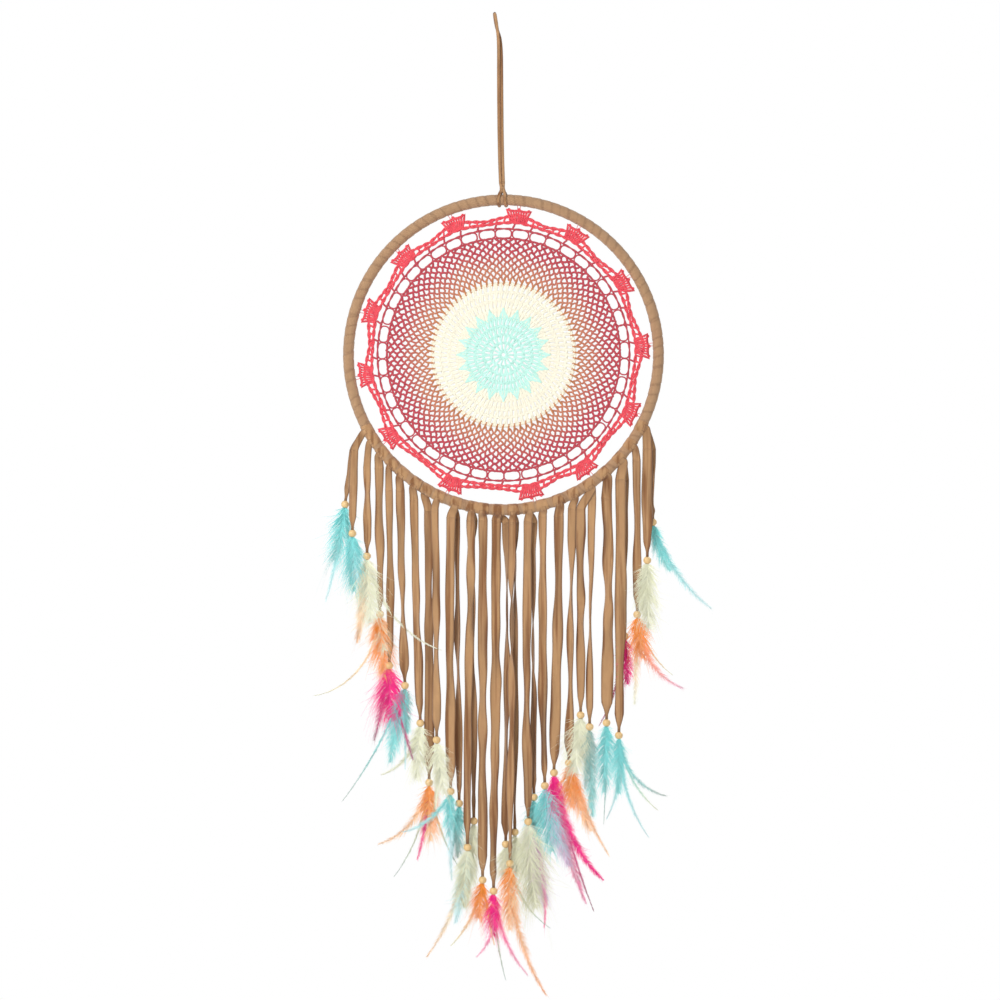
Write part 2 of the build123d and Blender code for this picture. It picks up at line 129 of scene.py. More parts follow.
TAILS = [
    Tail(1, -60.9, 1, 0.006, 0.006, [0, 55, 70],
         [(-0.151, 0), (-0.154, 0.026), (-0.1585, 0.0545)],
         [Plume("turquoise", "turquoise", 0.055, 0.022, -9, -6),
          Plume("turquoise", "sky", 0.098, 0.007, -8, -8),
          Plume("turquoise", "sky", 0.079, 0.006, 6, -4)]),
    Tail(1, -60.9, -1, 0.0074, 0.007, [0, 10, -8],
         [(-0.149, 0), (-0.1505, 0.04), (-0.151, 0.0835)],
         [Plume("turquoise", "turquoise", 0.056, 0.02, 0, 4),
          Plume("turquoise", "sky", 0.046, 0.014, 8, -6)]),
    Tail(2, -56.7, 0, 0.0074, 0.007, [0, 12, -10, 5],
         [(-0.1365, 0), (-0.1358, 0.043), (-0.1365, 0.089)],
         [Plume("cream", "cream", 0.064, 0.027, 2, 4),
          Plume("cream", "peach", 0.086, 0.012, -4, -6),
          Plume("cream", "cream", 0.124, 0.004, 14, 58)]),
    Tail(2, -51, 0, 0.009, 0.008, [0, -10, 8, -6],
         [(-0.1243, 0), (-0.1238, 0.072), (-0.1235, 0.147)],
         [Plume("orange", "orange", 0.062, 0.023, 2, 6),
          Plume("peach", "cream", 0.034, 0.02, 5, 6),
          Plume("peach", "straw", 0.112, 0.0032, -8, -74)]),
    Tail(3, -45.5, 0, 0.0074, 0.007, [0, 8, -14, 10],
         [(-0.1145, 0), (-0.1133, 0.062), (-0.113, 0.12), (-0.1143, 0.176)],
         [Plume("magenta", "magenta", 0.05, 0.03, -1, 4),
          Plume("magenta", "plum", 0.074, 0.009, -9, -6),
          Plume("magenta", "plum", 0.095, 0.008, 12, 6)]),
    Tail(3, -40.4, 0, 0.0086, 0.008, [0, -30, 40, 10],
         [(-0.1033, 0), (-0.1028, 0.06), (-0.1005, 0.136), (-0.0986, 0.196)],
         [Plume("smoke", "turquoise", 0.046, 0.01, 4, 0),
          Plume("turquoise", "turquoise", 0.076, 0.017, -13, 4),
          Plume("turquoise", "smoke", 0.13, 0.003, -22, -16),
          Plume("turquoise", "sky", 0.082, 0.005, 1, -2)]),
    Tail(4, -34.4, 0, 0.0084, 0.0074, [5, -10, 12, 0],
         [(-0.0896, 0), (-0.0884, 0.07), (-0.0854, 0.15), (-0.0832, 0.224)],
         [Plume("cream", "cream", 0.055, 0.021, -6, 6),
          Plume("cream", "straw", 0.066, 0.006, -12, -60)]),
    Tail(5, -24.6, -1, 0.0078, 0.007, [0, 10, 30, -10],
         [(-0.0688, 0), (-0.0676, 0.07), (-0.0666, 0.15), (-0.0668, 0.23)],
         [Plume("cream", "cream", 0.052, 0.02, 7, 4),
          Plume("cream", "straw", 0.066, 0.008, 2, -8)]),
    Tail(5, -29.6, 1, 0.0086, 0.0064, [0, -8, 10, 12],
         [(-0.075, 0), (-0.0748, 0.085), (-0.0742, 0.18), (-0.0744, 0.273)],
         [Plume("orange", "peach", 0.056, 0.02, 0, 4),
          Plume("peach", "peach", 0.082, 0.0085, -14, -62),
          Plume("magenta", "magenta", 0.076, 0.007, -3, -14),
          Plume("straw", "smoke", 0.1, 0.003, -8, -30),
          Plume("straw", "smoke", 0.098, 0.003, 10, 26)]),
    Tail(6, -17.8, -1, 0.009, 0.008, [10, -12, 8, 14],
         [(-0.0524, 0), (-0.0542, 0.085), (-0.0528, 0.18), (-0.0529, 0.274)],
         [Plume("turquoise", "turquoise", 0.042, 0.013, -3, 2),
          Plume("sky", "sky", 0.086, 0.008, -1, 4),
          Plume("turquoise", "sky", 0.064, 0.006, -30, -50)]),
    Tail(6, -17.8, 1, 0.0076, 0.0064, [40, 60, 30, 55],
         [(-0.0474, 0), (-0.0464, 0.09), (-0.0448, 0.19), (-0.0444, 0.2865)],
         [Plume("turquoise", "smoke", 0.052, 0.013, -3, 4),
          Plume("turquoise", "sky", 0.06, 0.007, -10, 4)]),
    Tail(7, -11.5, -1, 0.0084, 0.0064, [10, -35, 20, 12],
         [(-0.0328, 0), (-0.0322, 0.082), (-0.0362, 0.18), (-0.036, 0.327)],
         [Plume("cream", "straw", 0.058, 0.018, -5, 4),
          Plume("cream", "sky", 0.074, 0.014, -10, 2),
          Plume("cream", "peach", 0.116, 0.007, -8, -30)]),
    Tail(7, -11.5, 1, 0.008, 0.0064, [60, 70, 50, 40],
         [(-0.03, 0), (-0.031, 0.08), (-0.0306, 0.19), (-0.0297, 0.301)],
         [Plume("cream", "straw", 0.062, 0.015, -4, 2),
          Plume("cream", "cream", 0.084, 0.008, -6, 4)]),
    Tail(8, -7.6, 0, 0.009, 0.007, [5, -8, 6, -4, 20],
         [(-0.0205, 0), (-0.0209, 0.08), (-0.0206, 0.18), (-0.0211, 0.28), (-0.0209, 0.3605)],
         [Plume("orange", "orange", 0.036, 0.018, -8, 4),
          Plume("orange", "straw", 0.072, 0.005, -12, -34),
          Plume("orange", "peach", 0.064, 0.005, 9, 4)]),
    Tail(8, -2, 0, 0.0094, 0.0076, [0, 10, -8, 12, -15],
         [(-0.007, 0), (-0.0078, 0.085), (-0.0072, 0.185), (-0.0103, 0.285), (-0.0099, 0.3715)],
         [Plume("magenta", "magenta", 0.042, 0.018, -2, 4),
          Plume("magenta", "pink", 0.069, 0.006, 10, -58),
          Plume("magenta", "pink", 0.09, 0.006, 8, 34),
          Plume("straw", "smoke", 0.088, 0.003, 2, 14)]),
    Tail(9, -2, 1, 0.008, 0.0064, [40, 65, 30, 50, 30],
         [(0.0026, 0), (0.0038, 0.075), (0.0033, 0.165), (0.0027, 0.25), (0.0022, 0.322)],
         [Plume("cream", "cream", 0.03, 0.02, -6, 2),
          Plume("cream", "straw", 0.042, 0.01, 6, 2)]),
    Tail(9, 3.5, -1, 0.008, 0.006, [10, 82, 60, 40, 30],
         [(0.009, 0), (0.008, 0.08), (0.0083, 0.175), (0.007, 0.265), (0.0065, 0.341)],
         [Plume("orange", "peach", 0.064, 0.02, -1, 2),
          Plume("peach", "orange", 0.136, 0.0088, 2, 32),
          Plume("straw", "smoke", 0.076, 0.003, 14, 44)]),
    Tail(9, 3.5, 1, 0.0074, 0.0062, [60, 50, 40, 75],
         [(0.0118, 0), (0.0116, 0.095), (0.011, 0.205), (0.0113, 0.31)],
         [Plume("cream", "cream", 0.042, 0.014, 2, 6)]),
    Tail(10, 9.3, -1, 0.0086, 0.0076, [0, -8, 12, -5],
         [(0.0245, 0), (0.0234, 0.09), (0.0229, 0.195), (0.0247, 0.3)],
         [Plume("cream", "straw", 0.084, 0.036, 3, 4),
          Plume("cream", "lilac", 0.084, 0.018, 11, 2),
          Plume("lilac", "magenta", 0.106, 0.006, 20, -26)]),
    Tail(10, 9.3, 1, 0.008, 0.0064, [55, 70, 60, 65],
         [(0.03, 0), (0.0295, 0.082), (0.0299, 0.18), (0.0304, 0.276)],
         [Plume("turquoise", "smoke", 0.05, 0.016, -2, 2)]),
    Tail(11, 14.4, 0, 0.0084, 0.007, [0, 10, -6, -20],
         [(0.039, 0), (0.0395, 0.08), (0.0389, 0.18), (0.0413, 0.27)],
         [Plume("turquoise", "turquoise", 0.064, 0.026, 4, 6),
          Plume("sky", "lilac", 0.082, 0.018, 14, 8),
          Plume("sky", "pink", 0.098, 0.008, 18, 4)]),
    Tail(11, 20.6, 0, 0.0096, 0.008, [0, 8, -10, 14],
         [(0.0553, 0), (0.0554, 0.08), (0.052, 0.18), (0.0505, 0.257)],
         [Plume("magenta", "magenta", 0.044, 0.015, 2, 8),
          Plume("magenta", "magenta", 0.12, 0.0105, 8, 40),
          Plume("magenta", "pink", 0.134, 0.0105, 8, 14),
          Plume("magenta", "plum", 0.142, 0.004, 12, 10)]),
    Tail(12, 26.6, 0, 0.008, 0.0074, [5, 75, 20, 10],
         [(0.0685, 0), (0.068, 0.08), (0.0665, 0.18), (0.0653, 0.255)],
         [Plume("orange", "orange", 0.042, 0.02, 3, 4),
          Plume("orange", "peach", 0.07, 0.015, 12, 16),
          Plume("orange", "peach", 0.1, 0.006, 18, 14)]),
    Tail(12, 33.5, 0, 0.009, 0.0074, [0, -10, 30, 8],
         [(0.0773, 0), (0.0777, 0.065), (0.0775, 0.14), (0.0771, 0.207)],
         [Plume("cream", "cream", 0.056, 0.025, -8, 4),
          Plume("cream", "straw", 0.04, 0.014, 4, 2)]),
    Tail(13, 33.5, 0, 0.008, 0.0062, [20, 60, 65, 70],
         [(0.0886, 0), (0.0872, 0.072), (0.0864, 0.155), (0.0861, 0.2295)],
         [Plume("smoke", "turquoise", 0.088, 0.014, 1, 2),
          Plume("turquoise", "smoke", 0.06, 0.008, -5, 2)]),
    Tail(13, 40.4, 0, 0.0104, 0.008, [0, 12, -8, 6],
         [(0.103, 0), (0.105, 0.07), (0.1046, 0.15), (0.103, 0.2255)],
         [Plume("turquoise", "turquoise", 0.067, 0.017, -3, 2),
          Plume("turquoise", "smoke", 0.099, 0.003, 0, -4)]),
    Tail(14, 48.2, -1, 0.0104, 0.008, [0, -8, 12, -5],
         [(0.117, 0), (0.1177, 0.08), (0.1168, 0.175), (0.1153, 0.256)],
         [Plume("turquoise", "turquoise", 0.056, 0.015, -1, 4),
          Plume("turquoise", "smoke", 0.08, 0.006, 8, 72),
          Plume("turquoise", "straw", 0.084, 0.004, 10, 42),
          Plume("turquoise", "sky", 0.106, 0.005, 2, 34),
          Plume("turquoise", "sky", 0.084, 0.006, 6, -34)]),
    Tail(14, 48.2, 1, 0.008, 0.0068, [60, 55, 60],
         [(0.1215, 0), (0.121, 0.05), (0.1209, 0.105), (0.1213, 0.157)],
         [Plume("magenta", "magenta", 0.046, 0.015, 2, 4),
          Plume("magenta", "plum", 0.092, 0.004, -6, -24)]),
    Tail(15, 54.7, 0, 0.008, 0.0076, [0, 10, -8],
         [(0.133, 0), (0.1336, 0.048), (0.1335, 0.103), (0.1337, 0.155)],
         [Plume("orange", "orange", 0.042, 0.022, 5, 6),
          Plume("orange", "pink", 0.09, 0.0088, 4, 66),
          Plume("orange", "straw", 0.07, 0.003, 14, 40),
          Plume("peach", "cream", 0.088, 0.0088, -1, -2)]),
    Tail(16, 62.5, -1, 0.0096, 0.008, [0, -10, 8],
         [(0.144, 0), (0.1438, 0.036), (0.1439, 0.074), (0.1437, 0.1115)],
         [Plume("cream", "cream", 0.066, 0.023, 0, 4),
          Plume("cream", "straw", 0.048, 0.012, -8, 2)]),
    Tail(16, 62.5, 1, 0.008, 0.007, [20, 45],
         [(0.1484, 0), (0.1489, 0.036), (0.1495, 0.0735)],
         [Plume("turquoise", "turquoise", 0.05, 0.011, 10, 24),
          Plume("turquoise", "sky", 0.104, 0.0086, 20, 34)]),
]

SIDE_STEP = 2.7 * MM
# The rim of a fan: how far along it to each side, and how far in from its outer edge, mm.
FAN_RIM = [(-0.68, 9.5), (-0.86, 4.5), (-1.0, 0.2), (-0.75, 1.0), (-0.35, 1.2), (0, 0.5),
           (0.35, 1.2), (0.75, 1.0), (1.0, 0.2), (0.86, 4.5), (0.68, 9.5)]
# How far a feather may reach to the front or the back.
DEEPEST = 16.5 * MM
FEATHER_SLOTS = ("turquoise", "cream", "orange", "magenta")
DYES = {
    "turquoise": (126, 222, 222),
    "sky": (190, 232, 238),
    "cream": (238, 239, 212),
    "straw": (220, 221, 184),
    "peach": (255, 204, 156),
    "orange": (255, 150, 36),
    "pink": (244, 150, 190),
    "magenta": (250, 6, 142),
    "plum": (150, 30, 95),
    "lilac": (214, 180, 215),
    "smoke": (150, 176, 170),
}


def srgb(red, green, blue):
    """A colour written as 0 to 255, as the linear numbers that the shaders use."""
    return tuple((c / 255 / 12.92) if c <= 10 else ((c / 255 + 0.055) / 1.055) ** 2.4
                 for c in (red, green, blue))


# ------------------------------------------------------------------ settings

def length_setting(name, description, default):
    """A setting that Blender shows as a length."""
    return bpy.props.FloatProperty(name=name, description=description, default=default, unit="LENGTH")


def colour_setting(name, description, *default):
    """A setting that Blender shows as a colour, its default written as 0 to 255."""
    return bpy.props.FloatVectorProperty(
        name=name, description=description, subtype="COLOR", default=srgb(*default))


class DreamCatcherSizes(bpy.types.PropertyGroup):
    """Sizes of the visible pieces."""
    lace: length_setting("Hanging lace", "Thickness of the lace that the hoop hangs on", 3 * MM)
    strip: length_setting("Strip", "Thickness of the fringe's suede strips", 1.4 * MM)
    wrap_pitch: length_setting("Wrap pitch", "Width of each turn of suede round the hoop", 9.4 * MM)
    bead: length_setting("Bead", "Diameter of a bead", 8 * MM)
    bore: length_setting("Bead hole", "Diameter of a bead's hole", 3.2 * MM)
    yarn: length_setting("Yarn", "Thickness of the crochet yarn", 1.8 * MM)
    columns: bpy.props.IntProperty(
        name="Stitches", description="Stitches in one round of the net", default=78, min=12)


class DreamCatcherColours(bpy.types.PropertyGroup):
    """Colours of the visible pieces."""
    suede: colour_setting("Suede", "Strips, hitches and lace", 183, 141, 97)
    wrap: colour_setting("Wrap", "Suede wound round the hoop", 174, 137, 101)
    mint: colour_setting("Mint yarn", "Middle of the doily", 204, 247, 236)
    cream: colour_setting("Cream yarn", "Doily's second band", 249, 244, 225)
    orange: colour_setting("Orange yarn", "Inner net", 206, 132, 102)
    coral: colour_setting("Coral yarn", "Outer net and border", 228, 76, 88)
    bead: colour_setting("Bead wood", "Wooden beads", 238, 200, 140)


# ------------------------------------------------------------------ finishes

class Signal:
    """A shader socket that Python's arithmetic works on."""

    def __init__(self, finish, socket):
        self.finish = finish
        self.socket = socket

    def math(self, operation, *values):
        return self.finish.node("ShaderNodeMath", {"operation": operation}, values)

    def __add__(self, other):
        return self.math("ADD", self, other)

    def __sub__(self, other):
        return self.math("SUBTRACT", self, other)

    def __mul__(self, other):
        return self.math("MULTIPLY", self, other)

    def __pow__(self, other):
        return self.math("POWER", self, other)

    __radd__ = __add__


class Finish:
    """One material: a Principled shader and the nodes that feed it."""

    def __init__(self, name, laid=False, **constants):
        self.laid = laid
        self.material = bpy.data.materials.new(name)
        self.material.use_nodes = True
        self.tree = self.material.node_tree
        self.shader = self.tree.nodes["Principled BSDF"]
        for socket, value in constants.items():
            self.shader.inputs[socket.replace("_", " ")].default_value = value

    def node(self, kind, settings, values, output=0):
        """Adds a node with its settings, then its inputs by place or name, and gives an output."""
        made = self.tree.nodes.new(kind)
        for setting, value in settings.items():
            setattr(made, setting, value)
        pairs = values.items() if isinstance(values, dict) else enumerate(values)
        for socket, value in pairs:
            if isinstance(value, Signal):
                self.tree.links.new(value.socket, made.inputs[socket])
            else:
                made.inputs[socket].default_value = value
        return Signal(self, made.outputs[output])

    def coordinates(self, stretch):
        """Object coordinates, or where the piece's own points lay at rest, stretched."""
        if self.laid:
            place = self.attribute("laid", "Vector")
        else:
            place = self.node("ShaderNodeTexCoord", {}, {}, "Object")
        return self.node("ShaderNodeMapping", {}, {"Vector": place, "Scale": stretch})

    def noise(self, scale, stretch, detail):
        """Soft random values, scale per metre."""
        values = {"Vector": self.coordinates(stretch), "Scale": scale, "Detail": detail}
        return self.node("ShaderNodeTexNoise", {}, values)

    def attribute(self, name, output="Fac"):
        return self.node("ShaderNodeAttribute", {"attribute_name": name}, {}, output)

    def mix(self, factor, first, second):
        """A colour between two, which are colours or signals."""
        first = first if isinstance(first, Signal) else (*first, 1)
        second = second if isinstance(second, Signal) else (*second, 1)
        values = {0: factor, 6: first, 7: second}
        return self.node("ShaderNodeMix", {"data_type": "RGBA"}, values, 2)

    def feed(self, socket, signal):
        self.tree.links.new(signal.socket, self.shader.inputs[socket])

    def bump(self, height, distance, strength):
        """Small relief, distance in metres."""
        values = {"Height": height, "Distance": distance, "Strength": strength}
        self.feed("Normal", self.node("ShaderNodeBump", {}, values))


def shade(colour, factor):
    """A colour made darker or lighter."""
    return tuple(min(1, channel * factor) for channel in colour)


def suede_finish(name, colour, streaks):
    """Napped suede: soft mottling, long streaks, pinker and duller patches, and painted shade on edges,
    seams and hollows, with some random dark tone, read from an attribute.
    """
    finish = Finish(name, laid=True, Roughness=0.92, Sheen_Weight=0.25, Sheen_Roughness=0.6)
    mottle = finish.noise(220, (1, 1, 0.35), 4.0)
    patches = finish.noise(38, (1, 1, 0.6), 2.0)
    nap = finish.noise(2600, (1, 1, 0.4), 3.0)
    base = finish.mix(mottle, shade(colour, 0.8), shade(colour, 1.18))
    rosy = (min(1, colour[0] * 1.14), colour[1] * 0.94, colour[2] * 0.98)
    dull = (colour[0] * 0.86, colour[1] * 0.97, colour[2] * 0.92)
    base = finish.mix((patches - 0.35) * 1.6, base, finish.mix(mottle, rosy, dull))
    streak = finish.noise(190, (1, 1, 0.035), 3.0)
    brown = (colour[0] * 0.5, colour[1] * 0.36, colour[2] * 0.24)
    base = finish.mix((streak - 0.47) * streaks, base, brown)
    # Painted shade on edges, seams, hitches and back strips, with some random dark tone: each piece's
    # attribute mixes the colour towards dark brown.
    painted_shade_and_tone = finish.attribute("painted_shade_and_tone")
    finish.feed("Base Color", finish.mix(painted_shade_and_tone * 0.85, base, srgb(84, 48, 24)))
    finish.feed("Roughness", 0.86 + nap * 0.12)
    finish.bump(nap + mottle * 1.5, 0.25 * MM, 0.5)
    return finish.material


def yarn_finish(name, colour, crease_shade, glow=1.12):
    """Cotton yarn: plied strands with patches of painted shade for the creases between them, and a light
    fuzz.
    """
    finish = Finish(name, Roughness=0.85, Sheen_Weight=0.35, Sheen_Roughness=0.5)
    fibre = finish.noise(1500, PLAIN, 4.0)
    stitch = finish.noise(330, PLAIN, 2.0)
    tone = finish.mix(fibre, shade(colour, 0.88), shade(colour, glow))
    # Patches of painted crease shade.
    finish.feed("Base Color", finish.mix((stitch - 0.45) * 2.2, tone, crease_shade))
    finish.feed("Roughness", 0.78 + fibre * 0.15)
    finish.bump(fibre, 0.3 * MM, 0.7)
    return finish.material


def net_finish(name, inner, outer):
    """Variegated cotton: one colour near the doily's middle that turns into another outwards."""
    finish = Finish(name, Roughness=0.85, Sheen_Weight=0.3, Sheen_Roughness=0.5)
    fibre = finish.noise(1500, PLAIN, 4.0)
    patches = finish.noise(60, PLAIN, 2.0)
    place = finish.node("ShaderNodeTexCoord", {}, {}, "Object")
    across = finish.node("ShaderNodeSeparateXYZ", {}, {0: place}, "X")
    up = finish.node("ShaderNodeSeparateXYZ", {}, {0: place}, "Z") - HOOP_Z
    out = (across * across + up * up) ** 0.5
    share = (out - 82 * MM) * 45 + (patches - 0.5) * 0.8
    tone = finish.mix(share, inner, outer)
    # Painted crease shade, mixed in along the fibres.
    crease_shade = finish.mix(share, shade(inner, 0.75), shade(outer, 0.7))
    finish.feed("Base Color", finish.mix(fibre * 0.5, tone, crease_shade))
    finish.feed("Roughness", 0.78 + fibre * 0.15)
    finish.bump(fibre, 0.3 * MM, 0.7)
    return finish.material


def bead_finish(name, colour):
    """Turned pale wood: fine growth rings along the hole, with a thin varnish."""
    finish = Finish(name, Roughness=0.42, Coat_Weight=0.2, Coat_Roughness=0.3)
    rings = finish.noise(900, (1, 1, 0.12), 3.0)
    pores = finish.noise(3800, (1, 1, 0.1), 2.0)
    tone = finish.mix(rings, shade(colour, 0.72), shade(colour, 1.1))
    # Inside the hole painted dark brown: painted shade.
    finish.feed("Base Color", finish.mix(finish.attribute("painted_shade_and_tone") * 0.85, tone, srgb(92, 52, 30)))
    finish.feed("Roughness", 0.36 + pores * 0.14)
    finish.bump(pores, 0.08 * MM, 0.4)
    return finish.material


def rattan_finish(name):
    """Peeled rattan: long fibres round the hoop."""
    finish = Finish(name, Roughness=0.6)
    fibre = finish.noise(500, (1, 3, 1), 4.0)
    finish.feed("Base Color", finish.mix(fibre, srgb(172, 132, 86), srgb(214, 182, 132)))
    finish.bump(fibre, 0.2 * MM, 0.5)
    return finish.material


def feather_finish(name):
    """Dyed barbs: each feather's own dye, uneven where the dye took unevenly."""
    finish = Finish(name, Roughness=0.72, Sheen_Weight=0.3, Sheen_Roughness=0.4)
    uneven = finish.noise(170, PLAIN, 2.0)
    dye = finish.attribute("dye", "Color")
    faded = finish.mix(0.3, dye, (1.0, 0.98, 0.95))
    finish.feed("Base Color", finish.mix((uneven - 0.5) * 1.2, dye, faded))
    finish.feed("Roughness", 0.66 + uneven * 0.14)
    return finish.material


def plain_white(name):
    """Stage white: light to the camera and in reflections, a pale matt surface to everything else."""
    finish = Finish(name, Roughness=0.9, Base_Color=(0.86, 0.86, 0.86, 1))
    tree = finish.tree
    path = finish.node("ShaderNodeLightPath", {}, {}, "Is Camera Ray")
    glossy = Signal(finish, path.socket.node.outputs["Is Glossy Ray"])
    through = Signal(finish, path.socket.node.outputs["Is Transmission Ray"])
    glow = finish.node("ShaderNodeEmission", {}, {"Color": (1, 1, 1, 1), "Strength": 1.0})
    mixed = finish.node("ShaderNodeMixShader", {}, {0: path + glossy + through})
    tree.links.new(finish.shader.outputs[0], mixed.socket.node.inputs[1])
    tree.links.new(glow.socket, mixed.socket.node.inputs[2])
    tree.links.new(mixed.socket, tree.nodes["Material Output"].inputs["Surface"])
    return finish.material


FINISHES = {}


def finishes():
    """Every material of the object, made once."""
    if not FINISHES:
        colours = bpy.context.scene.dream_catcher_colours
        FINISHES.update(
            suede=suede_finish("suede_strip", colours.suede, 6.0),
            wrap=suede_finish("suede_wrap", colours.wrap, 0.6),
            rattan=rattan_finish("rattan"),
            # Each yarn's third colour is its painted crease shade.
            mint=yarn_finish("mint_yarn", colours.mint, srgb(178, 230, 217), 1.04),
            cream=yarn_finish("cream_yarn", colours.cream, srgb(243, 236, 214), 1.03),
            net=net_finish("variegated_yarn", colours.orange, srgb(196, 70, 84)),
            # The orange yarn's posts in a darker ochre as painted shade, with a darker painted crease
            # shade.
            post=yarn_finish("orange_yarn_painted_shade", srgb(200, 132, 84), srgb(160, 96, 58)),
            coral=yarn_finish("coral_yarn", colours.coral, srgb(206, 40, 68), 1.3),
            bead=bead_finish("bead_wood", colours.bead),
            feather=feather_finish("feather"),
        )
    return FINISHES


# ------------------------------------------------------------------ pieces and paths

def piece(name, mesh, finish, body, slot, *nodes):
    """Links a finished mesh as a piece that rides on a body and stands for CAD nodes."""
    thing = bpy.data.objects.new(name, mesh)
    bpy.context.scene.collection.objects.link(thing)
    mesh.materials.clear()
    mesh.materials.append(finishes()[finish])
    if finish in ("suede", "wrap"):
        places = [0.0] * (3 * len(mesh.vertices))
        mesh.vertices.foreach_get("co", places)
        laid = mesh.attributes.new("laid", "FLOAT_VECTOR", "POINT")
        laid.data.foreach_set("vector", places)
    if body:
        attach(thing, body)
    if nodes:
        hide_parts(*nodes)
    return thing


def bridge(shape, before, after):
    """Faces between two rings of vertices."""
    for index in range(len(before)):
        following = (index + 1) % len(before)
        shape.faces.new((before[index], before[following], after[following], after[index]))


def finish_bmesh(name, shape):
    """Turns a bmesh into a smooth mesh with its faces outwards."""
    bmesh.ops.recalc_face_normals(shape, faces=shape.faces)
    mesh = bpy.data.meshes.new(name)
    shape.to_mesh(mesh)
    shape.free()
    mesh.polygons.foreach_set("use_smooth", [True] * len(mesh.polygons))
    return mesh


def yarn_mesh(name, paths, thickness, cyclic=False):
    """Round yarn along each path, as one mesh."""
    curve = bpy.data.curves.new(name, "CURVE")
    curve.dimensions = "3D"
    curve.bevel_depth = thickness / 2
    curve.bevel_resolution = 1
    curve.use_fill_caps = not cyclic
    for path in paths:
        spline = curve.splines.new("POLY")
        spline.points.add(len(path) - 1)
        for point, place in zip(spline.points, path):
            point.co = (*place, 1)
        spline.use_cyclic_u = cyclic
        spline.use_smooth = True
    holder = bpy.data.objects.new(name, curve)
    mesh = bpy.data.meshes.new_from_object(holder)
    bpy.data.objects.remove(holder)
    bpy.data.curves.remove(curve)
    return mesh


def join_meshes(name, meshes):
    """Several meshes as one."""
    shape = bmesh.new()
    for mesh in meshes:
        shape.from_mesh(mesh)
        bpy.data.meshes.remove(mesh)
    joined = bpy.data.meshes.new(name)
    shape.to_mesh(joined)
    shape.free()
    joined.polygons.foreach_set("use_smooth", [True] * len(joined.polygons))
    return joined


def route_curve(name, route):
    """A smooth curve of one open spline that a route's points steer."""
    curve = bpy.data.curves.new(name, "CURVE")
    curve.dimensions = "3D"
    curve.resolution_u = 16
    spline = curve.splines.new("NURBS")
    spline.points.add(len(route) - 1)
    for point, place in zip(spline.points, route):
        point.co = (*place, 1)
    spline.order_u = 3
    spline.use_endpoint_u = True
    return curve


def route_line(route):
    """Points along a route's smooth curve."""
    curve = route_curve("route", route)
    holder = bpy.data.objects.new("route", curve)
    mesh = bpy.data.meshes.new_from_object(holder)
    line = [vertex.co.copy() for vertex in mesh.vertices]
    bpy.data.objects.remove(holder)
    bpy.data.curves.remove(curve)
    bpy.data.meshes.remove(mesh)
    return line


def route_length(route):
    points = [Vector(place) for place in route]
    return sum((after - before).length for before, after in zip(points, points[1:]))


def hoop_place(clockwise, radius, depth=0.0):
    """A place round the hoop's middle, degrees clockwise from the top as seen from the front."""
    turn = math.radians(clockwise)
    return Vector((radius * math.sin(turn), depth, HOOP_Z + radius * math.cos(turn)))


def along(values, share):
    """A value between evenly spaced ones, eased."""
    place = min(max(share, 0), 1) * (len(values) - 1)
    index = min(int(place), len(values) - 2)
    ease = place - index
    ease = ease * ease * (3 - 2 * ease)
    return values[index] * (1 - ease) + values[index + 1] * ease


def ribbon(name, line, width_at, thick_at, turn_at, shade_and_tone_at, curl_at=None):
    """A flat strip along a line: at each share of it, a width, a thickness, a turn, its painted
    shade and tone, and how far its edges curl towards one side."""
    shape = bmesh.new()
    painted_shade_and_tone = shape.verts.layers.float.new("painted_shade_and_tone")
    section = [(-1, 0), (-0.9, 0.8), (-0.6, 1), (0, 1.06), (0.6, 1), (0.9, 0.8),
               (1, 0), (0.9, -0.8), (0.6, -1), (0, -1.06), (-0.6, -1), (-0.9, -0.8)]
    rings = []
    for index, place in enumerate(line):
        share = index / (len(line) - 1)
        heading = (line[min(index + 1, len(line) - 1)] - line[max(index - 1, 0)]).normalized()
        side = Matrix.Rotation(turn_at(share), 3, heading) @ heading.cross(FRONT).normalized()
        face = side.cross(heading)
        curl = curl_at(share) * width_at(share) if curl_at else 0
        ring = []
        for across, out in section:
            lift = out * thick_at(share) / 2 + curl * (across * across - 0.4)
            vertex = shape.verts.new(place + side * across * width_at(share) / 2 + face * lift)
            # The strip's edges painted darker: painted shade where they turn away.
            edge_shade = 0.95 if abs(across) > 0.95 else 0.55 if abs(across) > 0.85 else 0.0
            vertex[painted_shade_and_tone] = max(shade_and_tone_at(share), edge_shade)
            ring.append(vertex)
        rings.append(ring)
    for before, after in zip(rings, rings[1:]):
        bridge(shape, before, after)
    shape.faces.new(rings[0])
    shape.faces.new(rings[-1])
    return finish_bmesh(name, shape)


# ------------------------------------------------------------------ stage

FLOOR_DROP = 0.12
BACKDROP_Y = 6
STAGE_SIZE = 16
LENS = 135
SENSOR_WIDTH = 36
CAMERA_Y = -3.75
# Name, place, size in metres, watts.
LAMPS = (
    ("key", (-1.5, -2.0, 0.6), 0.7, 40),
    ("fill", (1.6, -2.2, -0.4), 1.4, 6),
    ("back", (1.2, 2.4, 0.5), 1.2, 30),
)


